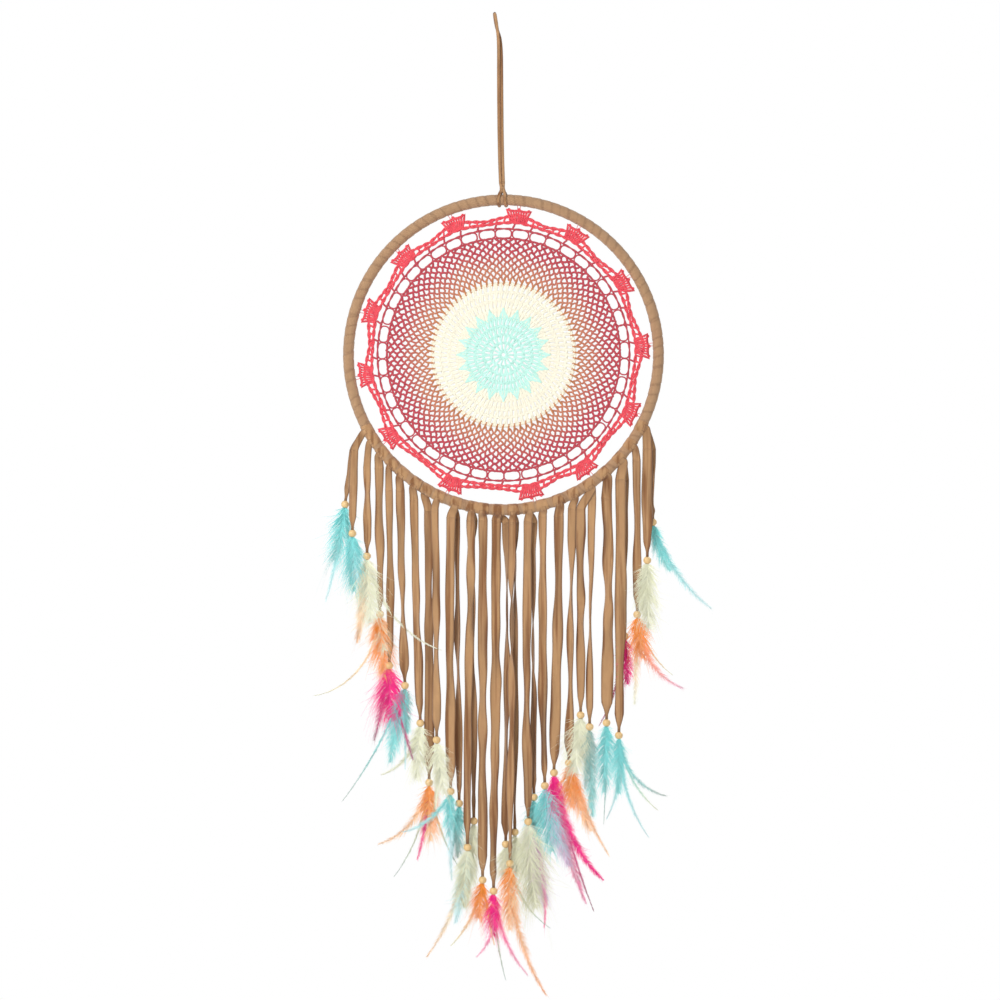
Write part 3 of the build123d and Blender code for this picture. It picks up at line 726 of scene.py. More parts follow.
class DREAM_OT_stage(bpy.types.Operator):
    """Adds the floor, the backdrop, the lights and the camera"""
    bl_idname = "dream.stage"
    bl_label = "Stage"

    def execute(self, context):
        white = plain_white("stage_white")
        floor_z = CAD_BOX[0][2] - FLOOR_DROP
        for name, place, turn in (
                ("floor", (0, 0, floor_z), 0), ("backdrop", (0, BACKDROP_Y, 0), math.pi / 2)):
            shape = bmesh.new()
            matrix = Matrix.Translation(place) @ Matrix.Rotation(turn, 4, "X")
            bmesh.ops.create_grid(
                shape, x_segments=1, y_segments=1, size=STAGE_SIZE / 2, matrix=matrix)
            mesh = bpy.data.meshes.new(name)
            shape.to_mesh(mesh)
            shape.free()
            mesh.materials.append(white)
            stage = bpy.data.objects.new(name, mesh)
            context.scene.collection.objects.link(stage)

        world = bpy.data.worlds.new("studio")
        context.scene.world = world
        world.use_nodes = True
        nodes, links = world.node_tree.nodes, world.node_tree.links
        soft = nodes["Background"]
        soft.inputs["Color"].default_value = (1, 1, 1, 1)
        soft.inputs["Strength"].default_value = 0.6
        bright = nodes.new("ShaderNodeBackground")
        bright.inputs["Color"].default_value = (1, 1, 1, 1)
        bright.inputs["Strength"].default_value = 1.0
        path = nodes.new("ShaderNodeLightPath")
        both = nodes.new("ShaderNodeMixShader")
        links.new(path.outputs["Is Camera Ray"], both.inputs[0])
        links.new(soft.outputs[0], both.inputs[1])
        links.new(bright.outputs[0], both.inputs[2])
        links.new(both.outputs[0], nodes["World Output"].inputs["Surface"])

        for name, place, size, power in LAMPS:
            lamp = bpy.data.lights.new(name, "AREA")
            lamp.size = size
            lamp.energy = power
            holder = bpy.data.objects.new(name, lamp)
            holder.location = place
            aim = Vector((0, 0, HOOP_Z - 0.15)) - Vector(place)
            holder.rotation_euler = aim.to_track_quat("-Z", "Y").to_euler()
            context.scene.collection.objects.link(holder)

        camera = bpy.data.cameras.new("camera")
        camera.lens = LENS
        camera.sensor_width = SENSOR_WIDTH
        holder = bpy.data.objects.new("camera", camera)
        middle = (CAD_BOX[0][2] + CAD_BOX[1][2]) / 2
        holder.location = (-0.0035, CAMERA_Y, middle - 0.0065)
        holder.rotation_euler = (math.pi / 2, 0, 0)
        context.scene.collection.objects.link(holder)
        context.scene.camera = holder
        context.scene.view_settings.view_transform = "Standard"
        return {"FINISHED"}


# ------------------------------------------------------------------ hanging loop and top hitch

class DREAM_OT_hanging_loop(bpy.types.Operator):
    """Adds the lace that the hoop hangs on"""
    bl_idname = "dream.hanging_loop"
    bl_label = "Hanging loop"

    def execute(self, context):
        lace = context.scene.dream_catcher_sizes.lace
        line = route_line(LOOP_ROUTE)
        mesh = ribbon(
            "hanging_lace", line, lambda share: lace * 1.06, lambda share: lace * 0.7,
            lambda share: math.radians(14 * math.sin(share * 37)),
            # Darker in evenly spaced patches along the lace, with a painted shadow at the tip of its
            # bight.
            lambda share: (0.05 + 0.2 * math.sin(share * 61) ** 2
                           + 0.95 * math.exp(-((share - 0.5) / 0.024) ** 4)))
        loop = piece("hanging_lace", mesh, "suede", "loop", "suede_lace", "hanging_loop")
        return {"FINISHED"}


class DREAM_OT_top_hitch(bpy.types.Operator):
    """Adds the lark's head that the lace makes round the top of the hoop"""
    bl_idname = "dream.top_hitch"
    bl_label = "Top hitch"

    def execute(self, context):
        lace = context.scene.dream_catcher_sizes.lace
        reach = WRAP_RADIUS + lace * 0.3
        neck = (HINGES["top_knot"][2] - HOOP_TOP_Z) / MM
        far = reach / MM
        legs = []
        for side, across in ((-1, -3.0), (1, 0.0)):
            near = side * far
            legs.append([
                (across, 0, neck + 0.2), (across * 0.6 - 0.4, side * 0.6, neck - 3.5),
                (-0.9 + side * 1.3, near * 0.3, far + 2.6), (-0.9 + side * 3.4, near * 0.72, far * 0.85),
                (-0.9 + side * 4.6, near, 0), (-0.9 + side * 4.2, near * 0.74, -far * 0.74),
                (-0.9 + side * 3.4, 0, -far), (-0.9 + side * 2.6, -near * 0.74, -far * 0.74),
                (-0.9 + side * 2.2, -near, 0), (-0.9 + side * 2.4, -near * 0.74, far * 0.78),
                (-0.9 + side * 1.2, -near * 0.3, far + 1.6), (-0.6, 0, neck - 4.0)])
        meshes = []
        for leg in legs:
            line = route_line([(x * MM, y * MM, HOOP_TOP_Z + z * MM) for x, y, z in leg])
            meshes.append(ribbon("leg", line, lambda share: lace * 1.05, lambda share: lace * 0.55,
                                 lambda share: 0.0, lambda share: 0.12))
        pinch = []
        for step in range(17):
            turn = 2 * math.pi * step / 16
            pinch.append(Vector((-0.9 * MM + 1.5 * MM * math.cos(turn), 1.5 * MM * math.sin(turn),
                                 HOOP_TOP_Z + (neck - 4.4) * MM)))
        meshes.append(yarn_mesh("pinch", [pinch], lace * 0.45))
        mesh = join_meshes("top_hitch", meshes)
        piece("top_hitch", mesh, "suede", "top_knot", "suede_lace", "top_knot")
        return {"FINISHED"}


# ------------------------------------------------------------------ hoop

STEPS_PER_TURN = 8
WRAP_SIDES = 20
# Shares of a turn: how far a turn strays, and half the width of the seam beside it.
WRAP_STRAY = 0.18
SEAM_HALF = 0.09
LAP_RISE = 0.28 * MM
SEAM_DEPTH = 0.3 * MM


class DREAM_OT_hoop(bpy.types.Operator):
    """Adds the suede strip that is wound round the hoop, and finishes the rattan inside it"""
    bl_idname = "dream.hoop"
    bl_label = "Hoop"

    def execute(self, context):
        pitch = context.scene.dream_catcher_sizes.wrap_pitch
        turns = round(2 * math.pi * HOOP_RADIUS / pitch)
        shape = bmesh.new()
        painted_shade_and_tone = shape.verts.layers.float.new("painted_shade_and_tone")
        matrix = Matrix.Translation((HOOP_RADIUS, 0, HOOP_Z))
        ring = bmesh.ops.create_circle(
            shape, segments=WRAP_SIDES, radius=WRAP_RADIUS, matrix=matrix)
        bmesh.ops.spin(
            shape, geom=ring["verts"] + shape.edges[:], cent=(0, 0, HOOP_Z), axis=(0, 1, 0),
            angle=2 * math.pi, steps=turns * STEPS_PER_TURN, use_merge=True)
        bmesh.ops.remove_doubles(shape, verts=shape.verts, dist=0.02 * MM)
        unevenness = random.Random(7)
        wobble = [unevenness.uniform(-WRAP_STRAY, WRAP_STRAY) for _ in range(turns)]
        for vertex in shape.verts:
            clockwise = math.atan2(vertex.co.x, vertex.co.z - HOOP_Z)
            center = hoop_place(math.degrees(clockwise), HOOP_RADIUS)
            spoke = vertex.co - center
            outward = spoke.dot((center - Vector((0, 0, HOOP_Z))).normalized())
            roll = math.atan2(vertex.co.y, outward)
            place = clockwise / (2 * math.pi) * turns + roll / (2 * math.pi)
            place += wobble[int(place) % turns] * math.sin(roll)
            share = place % 1.0
            seam = math.exp(-(min(share, 1 - share) / SEAM_HALF) ** 2)
            lap = LAP_RISE * (share - 0.5) - SEAM_DEPTH * seam
            vertex.co = center + spoke * (1 + lap / WRAP_RADIUS)
            # Painted shade in the seam between turns and towards the edge that lies under the next turn.
            vertex[painted_shade_and_tone] = 0.34 * seam + 0.06 * (1 - share)
        mesh = finish_bmesh("hoop_wrap", shape)
        piece("hoop_wrap", mesh, "wrap", "ring", "suede_wrap", "ring_wrap")
        frame["nodes"]["ring_core"].material_slots[0].material = finishes()["rattan"]
        return {"FINISHED"}


# ------------------------------------------------------------------ doily

# Rounds of the mint middle, mm: stitches, inner and outer radius, and how far each V is open.
MINT_ROUNDS = ((14, 4, 12, 0), (22, 12.5, 20, 0.5), (34, 20.5, 28.5, 0.7), (52, 29, 37, 0.6))
SPIKES = 20
# Rounds of the cream band, mm: inner and outer radius.
CREAM_ROUNDS = ((36, 46), (45, 55), (54, 63), (62, 71))
# The net's rounds and where they start and end. The first ones count as the orange net.
NET_ROUNDS, ORANGE_ROUNDS = 12, 5
NET_START, NET_END = 75 * MM, 116.5 * MM
WINDOWS = 45
WINDOW_RADIUS = 121.2 * MM
# Across and out of a picot's and of a tie's points, the tie's with its depth too: degrees, mm, mm.
PICOT = ((-0.5, 144.8), (-0.35, 146.4), (0, 147), (0.35, 146.4), (0.5, 144.8))
TIE = ((0.6, 145.5, 0), (0.9, 148.0, 0.3), (1.0, 149.9, 0.6))


def stitch_posts(count, inner, outer, lean, start=0.0, depth=0.0, spread=0.0, bow=0.0):
    """Short strands from one radius to another, evenly round the doily, leaning by an angle."""
    paths = []
    for index in range(count):
        angle = start + 360 * index / count
        for side in ((-1, 1) if spread else (0,)):
            paths.append([
                hoop_place(angle + side * spread * share + lean * share, inner + (outer - inner) * share,
                           depth - bow * math.sin(math.pi * share))
                for share in (0, 0.33, 0.67, 1)])
    return paths


def chain_round(radius, links, swell, depth=0.0, bulge=None):
    """One closed round of chain stitches: two strands that cross at every link."""
    strands = []
    steps = links * 6
    for side in (0, math.pi):
        strand = []
        for step in range(steps):
            turn = 2 * math.pi * links * step / steps / 2 + side
            angle = 360 * step / steps
            out = radius + (bulge(angle) if bulge else 0)
            strand.append(hoop_place(angle, out + swell * math.sin(turn),
                                     depth + swell * 0.7 * math.cos(turn)))
        strands.append(strand)
    return strands


def pulled(angle, radius, depth=0.0):
    """A place in the net, a little uneven, as handwork is."""
    turn = math.radians(angle)
    out = 0.38 * math.sin(turn * 31 + radius * 900) + 0.32 * math.sin(turn * 13 - radius * 1700)
    across = 0.24 * math.sin(turn * 23 + radius * 1300) + 0.2 * math.sin(turn * 9 - radius * 700)
    return hoop_place(angle + across, radius + out * MM, depth)


def net_round(columns, inner, outer, start, depth):
    """One round of the net: a closed zigzag whose peaks meet the next round's valleys."""
    path = []
    samples = 8
    for step in range(columns * samples):
        share = step / samples
        rise = 0.5 - 0.5 * math.cos(2 * math.pi * share)
        angle = start + 360 / columns * share
        path.append(pulled(angle, inner + (outer - inner) * rise,
                           depth * math.sin(2 * math.pi * share)))
    return path


def net_knots(columns, radius, start, size):
    """The small knots where two rounds of the net meet."""
    shape = bmesh.new()
    for column in range(columns):
        matrix = Matrix.Translation(pulled(start + 360 / columns * column, radius))
        bmesh.ops.create_icosphere(shape, subdivisions=1, radius=size / 2, matrix=matrix)
    return finish_bmesh("knots", shape)


def scallop(angle):
    """How far the edging stands out near a fan."""
    nearest = min(abs((angle - fan + 180) % 360 - 180) for fan in FAN_ANGLES)
    return 7 * MM * max(0, 1 - nearest / 13.5) ** 1.25


def window(angle, radius, half_length, half_height):
    """One rounded loop of the window round."""
    path = []
    for step in range(20):
        turn = 2 * math.pi * step / 20
        along_hoop = math.copysign(abs(math.cos(turn)) ** 0.72, math.cos(turn)) * half_length
        out = math.copysign(abs(math.sin(turn)) ** 0.72, math.sin(turn)) * half_height
        path.append(hoop_place(angle + math.degrees(along_hoop / radius), radius + out,
                               0.5 * MM * math.sin(turn)))
    return path


class DREAM_OT_doily(bpy.types.Operator):
    """Crochets the doily: mint middle, cream band, orange and coral nets, border and ties"""
    bl_idname = "dream.doily"
    bl_label = "Doily"

    def execute(self, context):
        sizes = context.scene.dream_catcher_sizes
        yarn = sizes.yarn
        columns = sizes.columns
        chance = random.Random(11)

        middle = chain_round(3.6 * MM, 10, 1.0 * MM)
        for count, inner, outer, open_by in MINT_ROUNDS:
            middle += stitch_posts(count, inner * MM, outer * MM, 2.0, inner * 3.1, 0,
                                   180 / count * open_by, 0.8 * MM)
            middle += chain_round(outer * MM, round(count * 1.2), 0.9 * MM)
        for spike in range(SPIKES):
            for side, face in itertools.product((-1, -0.5, 0, 0.5, 1), (-0.8, 1.0)):
                middle.append([
                    hoop_place(spike * 360 / SPIKES + side * 6.8 * (1 - share),
                               (37 + (10 - 2 * side * side) * share) * MM, face * MM)
                    for share in (0, 0.35, 0.7, 1)])
        mesh = yarn_mesh("doily_middle", middle, yarn * 1.12)
        piece("doily_middle", mesh, "mint", "ring", "mint_yarn", "doily_center")

        band = []
        for inner, outer in CREAM_ROUNDS:
            band += stitch_posts(columns, inner * MM, outer * MM, 1.6, inner * 0.7,
                                 0.1 * MM, 1.25, 0.7 * MM)
            band += chain_round(outer * MM, columns, 0.9 * MM, 0.1 * MM)
        mesh = yarn_mesh("doily_cream_band", band, yarn * 1.3)
        piece("doily_cream_band", mesh, "cream", "ring", "cream_yarn", "doily_band")

        posts = stitch_posts(columns, 69.5 * MM, 77 * MM, 1.2, 0, -0.5 * MM, 0, 0.6 * MM)
        mesh = yarn_mesh("doily_posts", posts, yarn * 1.15)
        piece("doily_posts", mesh, "post", "ring", "orange_yarn", "doily_mesh_orange")

        step = (NET_END - NET_START) / NET_ROUNDS
        for name, slot, node, span in (
                ("doily_orange_net", "orange_yarn", "doily_mesh_orange", range(ORANGE_ROUNDS)),
                ("doily_coral_net", "coral_yarn", "doily_mesh_coral",
                 range(ORANGE_ROUNDS, NET_ROUNDS))):
            meshes = []
            for index in span:
                start = 360 / columns * (0.5 if index % 2 else 0.0)
                inner = NET_START + step * index
                lean = 0.55 * MM if index % 2 else -0.55 * MM
                path = net_round(columns, inner, inner + step * 1.04, start, lean)
                meshes.append(yarn_mesh("net", [path], yarn * (1.1 + 0.025 * index), cyclic=True))
                meshes.append(net_knots(columns, inner, start, yarn * (1.5 + 0.03 * index)))
            mesh = join_meshes(name, meshes)
            piece(name, mesh, "net", "ring", slot, node)

        loops = [window(360 / WINDOWS * index + chance.uniform(-0.5, 0.5), WINDOW_RADIUS,
                        8.1 * MM, 4.9 * MM)
                 for index in range(WINDOWS)]
        rails = chain_round(116.6 * MM, columns, 0.5 * MM)
        rails += chain_round(126 * MM, columns, 0.6 * MM)
        bars = stitch_posts(WINDOWS, 125.5 * MM, 131 * MM, 1.0, 4, 0, 0, 0.3 * MM)
        mesh = join_meshes("doily_windows", [
            yarn_mesh("loops", loops, yarn * 0.92, cyclic=True),
            yarn_mesh("rails", rails, yarn * 0.8, cyclic=True),
            yarn_mesh("bars", bars, yarn * 1.2)])
        piece("doily_windows", mesh, "net", "ring", "coral_yarn", "doily_mesh_coral")

        edging = []
        for base, follow, links in ((130.8, 0.3, 96), (133.9, 1.0, 108)):
            edging += chain_round(base * MM, links, 0.95 * MM, 0,
                                  lambda angle, follow=follow: scallop(angle) * follow)
        fans = []
        rims = []
        for stitch in range(120):
            angle = stitch * 3 + chance.uniform(-0.5, 0.5)
            fans.append([hoop_place(angle, (130.6 * MM + 0.3 * scallop(angle))),
                         hoop_place(angle + 0.5, 132.6 * MM + 0.6 * scallop(angle), -0.8 * MM),
                         hoop_place(angle + 0.9, 134.2 * MM + scallop(angle))])
        for fan in FAN_ANGLES:
            tilt = chance.uniform(-1.2, 1.2)
            for post in range(9):
                side = (post - 4) / 4
                fans.append([
                    hoop_place(fan + side * 2.9, 132 * MM),
                    hoop_place(fan + side * 3.6 + tilt * 0.5, 137.5 * MM, -0.8 * MM),
                    hoop_place(fan + side * 4.2 + tilt, (143.6 - 0.5 * side * side) * MM)])
            for thick, lift, wide in ((0, 0, 5.0), (1.1, -1.0, 4.5)):
                rims.append([
                    hoop_place(fan + tilt + side * wide, (145.9 - thick - drop) * MM, lift * MM)
                    for side, drop in FAN_RIM])
            for side in (-1.1, 0.0, 1.1):
                rims.append([
                    hoop_place(fan + tilt + side * 3.6 + across, (out - 0.6 * abs(side)) * MM)
                    for across, out in PICOT])
        mesh = join_meshes("doily_border", [
            yarn_mesh("edging", edging, yarn * 1.12, cyclic=True), yarn_mesh("fans", fans, yarn * 1.18),
            yarn_mesh("rims", rims, yarn)])
        piece("doily_border", mesh, "coral", "ring", "coral_yarn", "doily_border")

        ties = []
        for fan in FAN_ANGLES:
            for side in (-0.6, 0.6):
                ties.append([hoop_place(fan + side * across, out * MM, depth * MM)
                             for across, out, depth in TIE])
        mesh = yarn_mesh("doily_ties", ties, yarn * 0.36)
        piece("doily_ties", mesh, "coral", "ring", "coral_yarn", "doily_ties")
        return {"FINISHED"}


# ------------------------------------------------------------------ fringe

# Each of a hitch's two bands round the hoop.
BAND_WIDTH = 6.4 * MM
BAND_STEPS = 24
BEAD_STEPS = 22
PROFILE_STEPS = 10
# A feather narrower than this is a slim one, with finer barbs and no down.
SLIM_WIDTH = 9 * MM
SHAFT_STEPS = 16
DOWN_SPACING = 0.5 * MM
# A strip waves twice at once, the second time at this share of the first one's speed.
SLOW_WAVE = 0.43


def tail_names(number):
    """A tail's own names for its strip, bead and feathers."""
    return f"strip_{number:02d}", f"bead_{number:02d}", f"plumes_{number:02d}"


def tail_depth(tail):
    """Where a tail hangs along Y, so that its group balances under its hinge."""
    group = [other for other in TAILS if other.group == tail.group]
    weights = [other.slot_width * other.route[-1][1] for other in group]
    leaning = sum(weight * other.side for weight, other in zip(weights, group)) / sum(weights)
    return SIDE_STEP * (tail.side - leaning)


def tail_body(tail):
    return f"tails_{tail.group:02d}"


def bead_place(tail):
    x, drop = tail.route[-1]
    return Vector((x, tail_depth(tail), HINGES[tail_body(tail)][2] - drop))


class DREAM_OT_hitches(bpy.types.Operator):
    """Adds the lark's heads of the fringe round the lower part of the hoop"""
    bl_idname = "dream.hitches"
    bl_label = "Hitches"

    def execute(self, context):
        thick = context.scene.dream_catcher_sizes.strip
        radius = WRAP_RADIUS + thick * 0.05
        for number, angle in enumerate(HITCH_ANGLES, start=1):
            chance = random.Random(100 + number)
            tails = [tail for tail in TAILS if tail.angle == angle]
            center = hoop_place(180 - angle, HOOP_RADIUS)
            outward = (center - Vector((0, 0, HOOP_Z))).normalized()
            run = outward.cross(BACK)
            meshes = []
            for side in (-1, 1):
                splay = chance.uniform(0.3, 1.0) * MM
                band = []
                for step in range(BAND_STEPS):
                    turn = 2 * math.pi * step / BAND_STEPS
                    drift = side * (2.7 * MM + splay * math.cos(turn))
                    band.append(center + outward * radius * math.cos(turn)
                                + BACK * radius * math.sin(turn) + run * drift)
                meshes.append(loop_band("band", band, center, run, BAND_WIDTH, thick * 0.45))
            for tail in tails:
                depth = tail_depth(tail)
                hinge = HINGES[tail_body(tail)]
                foot = Vector((tail.route[0][0], depth, hinge[2] - 1.5 * MM))
                face = 1 if tail.side > 0 else -1
                route = [
                    center + outward * radius * 0.35 + Vector((0, face * radius * 0.94, 0)),
                    center + outward * radius * 0.72 + Vector((0, face * radius * 0.72, 0)),
                    center + outward * (radius + 0.6 * MM) + Vector((0, face * radius * 0.35, 0)),
                    foot + Vector((0, 0, 3.0 * MM)), foot]
                line = route_line(route)
                meshes.append(ribbon(
                    "leg", line, lambda share, w=tail.width: w * (0.78 + 0.27 * share),
                    lambda share: thick * (0.9 + 0.1 * share), lambda share: 0.0,
                    # Painted shade on each leg just below the hoop.
                    lambda share: 0.32 * math.exp(-((share - 0.55) / 0.2) ** 2)))
            across = []
            for step in range(9):
                side = (step - 4) / 4
                across.append(center + run * side * 4.2 * MM + outward * (1.6 - 1.2 * side * side) * MM
                              + Vector((0, radius + thick * 0.75, 0)))
            meshes.append(ribbon("bight", across, lambda share: 3.6 * MM, lambda share: thick * 0.9,
                                 lambda share: 0.0, lambda share: 0.25))
            mesh = join_meshes(f"hitch_{number:02d}", meshes)
            piece(f"hitch_{number:02d}", mesh, "suede", "ring", "suede_lace", "lace_knots")
        return {"FINISHED"}


def loop_band(name, path, center, run, width, thick):
    """A flat band that closes round the hoop, rounded off towards its edges."""
    shape = bmesh.new()
    painted_shade_and_tone = shape.verts.layers.float.new("painted_shade_and_tone")
    rings = []
    section = [(-1, -1), (-1, -0.3), (-0.8, 0.5), (-0.4, 1),
               (0.4, 1), (0.8, 0.5), (1, -0.3), (1, -1)]
    for place in path:
        spoke = place - center
        out = (spoke - run * spoke.dot(run)).normalized()
        ring = []
        for across, rise in section:
            vertex = shape.verts.new(place + run * across * width / 2 + out * rise * thick / 2)
            # The band's edges painted darker as shade; the rest a touch darker in tone.
            vertex[painted_shade_and_tone] = 0.22 if abs(across) > 0.9 else 0.03
            ring.append(vertex)
        rings.append(ring)
    for before, after in zip(rings, rings[1:] + rings[:1]):
        bridge(shape, before, after)
    return finish_bmesh(name, shape)


class DREAM_OT_beads(bpy.types.Operator):
    """Adds a turned wooden bead for each tail"""
    bl_idname = "dream.beads"
    bl_label = "Beads"

    def execute(self, context):
        sizes = context.scene.dream_catcher_sizes
        radius = sizes.bead / 2
        bore = sizes.bore / 2
        reach = math.sqrt(radius ** 2 - bore ** 2)
        for number, tail in enumerate(TAILS, start=1):
            shape = bmesh.new()
            painted_shade_and_tone = shape.verts.layers.float.new("painted_shade_and_tone")
            edge = math.asin(bore / radius)
            profile = []
            for step in range(PROFILE_STEPS + 1):
                turn = edge + (math.pi - 2 * edge) * step / PROFILE_STEPS
                profile.append((radius * math.sin(turn), radius * math.cos(turn)))
            profile += [(bore * 0.92, -reach * 0.94), (bore * 0.9, 0), (bore * 0.92, reach * 0.94)]
            corners = [shape.verts.new((out, 0, height)) for out, height in profile]
            edges = [shape.edges.new(pair) for pair in zip(corners, corners[1:] + corners[:1])]
            bmesh.ops.spin(shape, geom=corners + edges, cent=(0, 0, 0), axis=(0, 0, 1),
                           angle=2 * math.pi, steps=BEAD_STEPS, use_merge=True)
            bmesh.ops.remove_doubles(shape, verts=shape.verts, dist=0.01 * MM)
            # The points inside the hole carry the painted shade.
            for vertex in shape.verts:
                across = math.hypot(vertex.co.x, vertex.co.y)
                vertex[painted_shade_and_tone] = 1.0 if across < bore * 1.05 else 0.0
            chance = random.Random(300 + number)
            turn = Matrix.Rotation(chance.uniform(0, 6.28), 4, "Z") @ Matrix.Rotation(
                chance.uniform(-0.12, 0.12), 4, "X")
            matrix = Matrix.Translation(bead_place(tail)) @ turn
            bmesh.ops.transform(shape, matrix=matrix, verts=shape.verts)
            name = tail_names(number)[1]
            mesh = finish_bmesh(name, shape)
            piece(name, mesh, "bead", tail_body(tail), "bead_wood", f"beads_{tail.group:02d}")
        return {"FINISHED"}


def barb(shape, layer, foot, direction, droop, length, half, edge, colour_at):
    """One barb: a narrow strip that tapers, bends and takes its colour along it."""
    previous = None
    for part in (0, 0.4, 0.75, 1):
        place = foot + direction * length * part + droop * length * part * part
        place.y = max(-DEEPEST, min(DEEPEST, place.y))
        wide = half * (1.0 - 0.8 * part)
        pair = (shape.verts.new(place - edge * wide), shape.verts.new(place + edge * wide))
        for vertex in pair:
            vertex[layer] = colour_at(part)
        if previous:
            shape.faces.new((previous[0], previous[1], pair[1], pair[0]))
        previous = pair


def plume_mesh(shape, layer, root, plume, chance):
    """Adds one feather to a bmesh: a bowed shaft, clumped barbs down both sides, down at its root."""
    slim = plume.width < SLIM_WIDTH
    broad = plume.width * (1.6 if slim else 1.7)
    roll = math.radians(chance.uniform(-25, 25))
    bow = (chance.uniform(-0.085, -0.03) if slim else chance.uniform(-0.07, 0.02)) * plume.length
    spine = [root.copy()]
    headings = []
    for step in range(SHAFT_STEPS):
        share = (step + 0.5) / SHAFT_STEPS
        angle = math.radians(plume.lean + plume.curl * share ** 1.3)
        headings.append(Vector((math.sin(angle), 0, -math.cos(angle))))
        spine.append(spine[-1] + headings[-1] * plume.length / SHAFT_STEPS)
    headings.append(headings[-1])
    for index, place in enumerate(spine):
        place.y += bow * (index / SHAFT_STEPS) ** 2

    first = srgb(*DYES[plume.dye])
    pale = (0.9, 0.88, 0.82)
    fade = (0.05 if plume.end in ("magenta", "plum") else 0.2) + (0.15 if slim else 0)
    last = [a + (b - a) * fade for a, b in zip(srgb(*DYES[plume.end]), pale)]

    def tint(share, light):
        mixed = [a + (b - a) * min(1, share) ** 1.4 for a, b in zip(first, last)]
        return (*[min(1, channel * light) for channel in mixed], 1)

    def at(share):
        place = share * SHAFT_STEPS
        index = min(int(place), SHAFT_STEPS - 1)
        return spine[index].lerp(spine[index + 1], place - index), headings[index]

    rings = []
    for index, place in enumerate(spine):
        share = index / SHAFT_STEPS
        out = (0.5 if slim else 0.38) * MM * (1 - 0.8 * share)
        side = headings[index].cross(FRONT)
        ring = [shape.verts.new(place + side * out), shape.verts.new(place + FRONT * out),
                shape.verts.new(place - side * out), shape.verts.new(place - FRONT * out)]
        for vertex in ring:
            vertex[layer] = tint(share, 0.92)
        rings.append(ring)
    for before, after in zip(rings, rings[1:]):
        bridge(shape, before, after)

    spacing = 0.55 * MM if slim else 0.36 * MM
    count = max(int(plume.length / spacing), 10)
    clump = {-1: (0, 1, 0, 1), 1: (0, 1, 0, 1)}
    for index in range(count):
        share = 0.02 + 0.97 * index / count
        place, heading = at(share)
        axis = Matrix.Rotation(roll * (0.4 + 0.6 * share), 3, heading) @ heading.cross(FRONT)
        if slim:
            swell = 0.25 + 0.75 * math.sin(math.pi * min(1, share) ** 0.75) * (1 - 0.3 * share)
        else:
            swell = min(1, (share + 0.06) * 5.5) * (1 - share ** 2.2) ** 0.7
        for side in (-1, 1):
            if chance.random() < 0.16:
                clump[side] = (chance.uniform(-9, 9), chance.uniform(0.7, 1.14),
                               chance.uniform(-0.5, 0.5), chance.uniform(0.86, 1.12))
            turn, longer, lift, light = clump[side]
            sweep = math.radians(chance.uniform(20, 50) + turn + 26 * share)
            reach = broad / 2 * swell * longer * chance.uniform(0.6, 1.12)
            direction = axis * side * math.cos(sweep) + heading * math.sin(sweep)
            direction = (direction + FRONT * (lift + chance.uniform(-0.25, 0.25)) * 0.6).normalized()
            droop = heading * chance.uniform(0.15, 0.5) - axis * side * chance.uniform(0, 0.15)
            barb(shape, layer, place, direction, droop, reach / math.cos(sweep) * 0.92,
                 (0.46 if slim else 0.5) * MM, heading,
                 lambda part, share=share, light=light: tint(
                     share + 0.2 * part, light * (0.92 + 0.14 * part)))
    if slim:
        return
    for _ in range(int(plume.length / DOWN_SPACING)):
        share = 0.01 + 0.75 * chance.random() ** 1.7
        place, heading = at(share)
        axis = heading.cross(FRONT)
        turn = math.radians(chance.uniform(-75, 75))
        direction = heading * math.cos(turn) + axis * math.sin(turn) + FRONT * chance.uniform(-0.5, 0.6)
        bend = axis * chance.uniform(-0.35, 0.35) + heading * chance.uniform(-0.1, 0.4)
        length = broad * chance.uniform(0.25, 0.62) * min(1, (share + 0.2) * 3)
        light = chance.uniform(0.9, 1.2)
        barb(shape, layer, place, direction.normalized(), bend, length, 0.2 * MM,
             direction.cross(FRONT).normalized(),
             lambda part, share=share, light=light: tint(share + 0.15 + 0.35 * part, light))


class DREAM_OT_feathers(bpy.types.Operator):
    """Adds each tail's bunch of dyed feathers"""
    bl_idname = "dream.feathers"
    bl_label = "Feathers"

    def execute(self, context):
        radius = context.scene.dream_catcher_sizes.bead / 2
        for number, tail in enumerate(TAILS, start=1):
            shape = bmesh.new()
            layer = shape.verts.layers.float_color.new("dye")
            for order, plume in enumerate(tail.plumes):
                chance = random.Random(1000 * number + order)
                depth = (order - (len(tail.plumes) - 1) / 2) * 1.1 * MM
                root = bead_place(tail) + Vector((0, depth * 0.5, -radius * 0.55))
                plume_mesh(shape, layer, root, plume, chance)
            name = tail_names(number)[2]
            mesh = bpy.data.meshes.new(name)
            shape.to_mesh(mesh)
            shape.free()
            dye = tail.plumes[0].dye
            slot = f"feather_{dye if dye in FEATHER_SLOTS else 'turquoise'}"
            piece(name, mesh, "feather", tail_body(tail), slot, f"feathers_{tail.group:02d}")
        return {"FINISHED"}


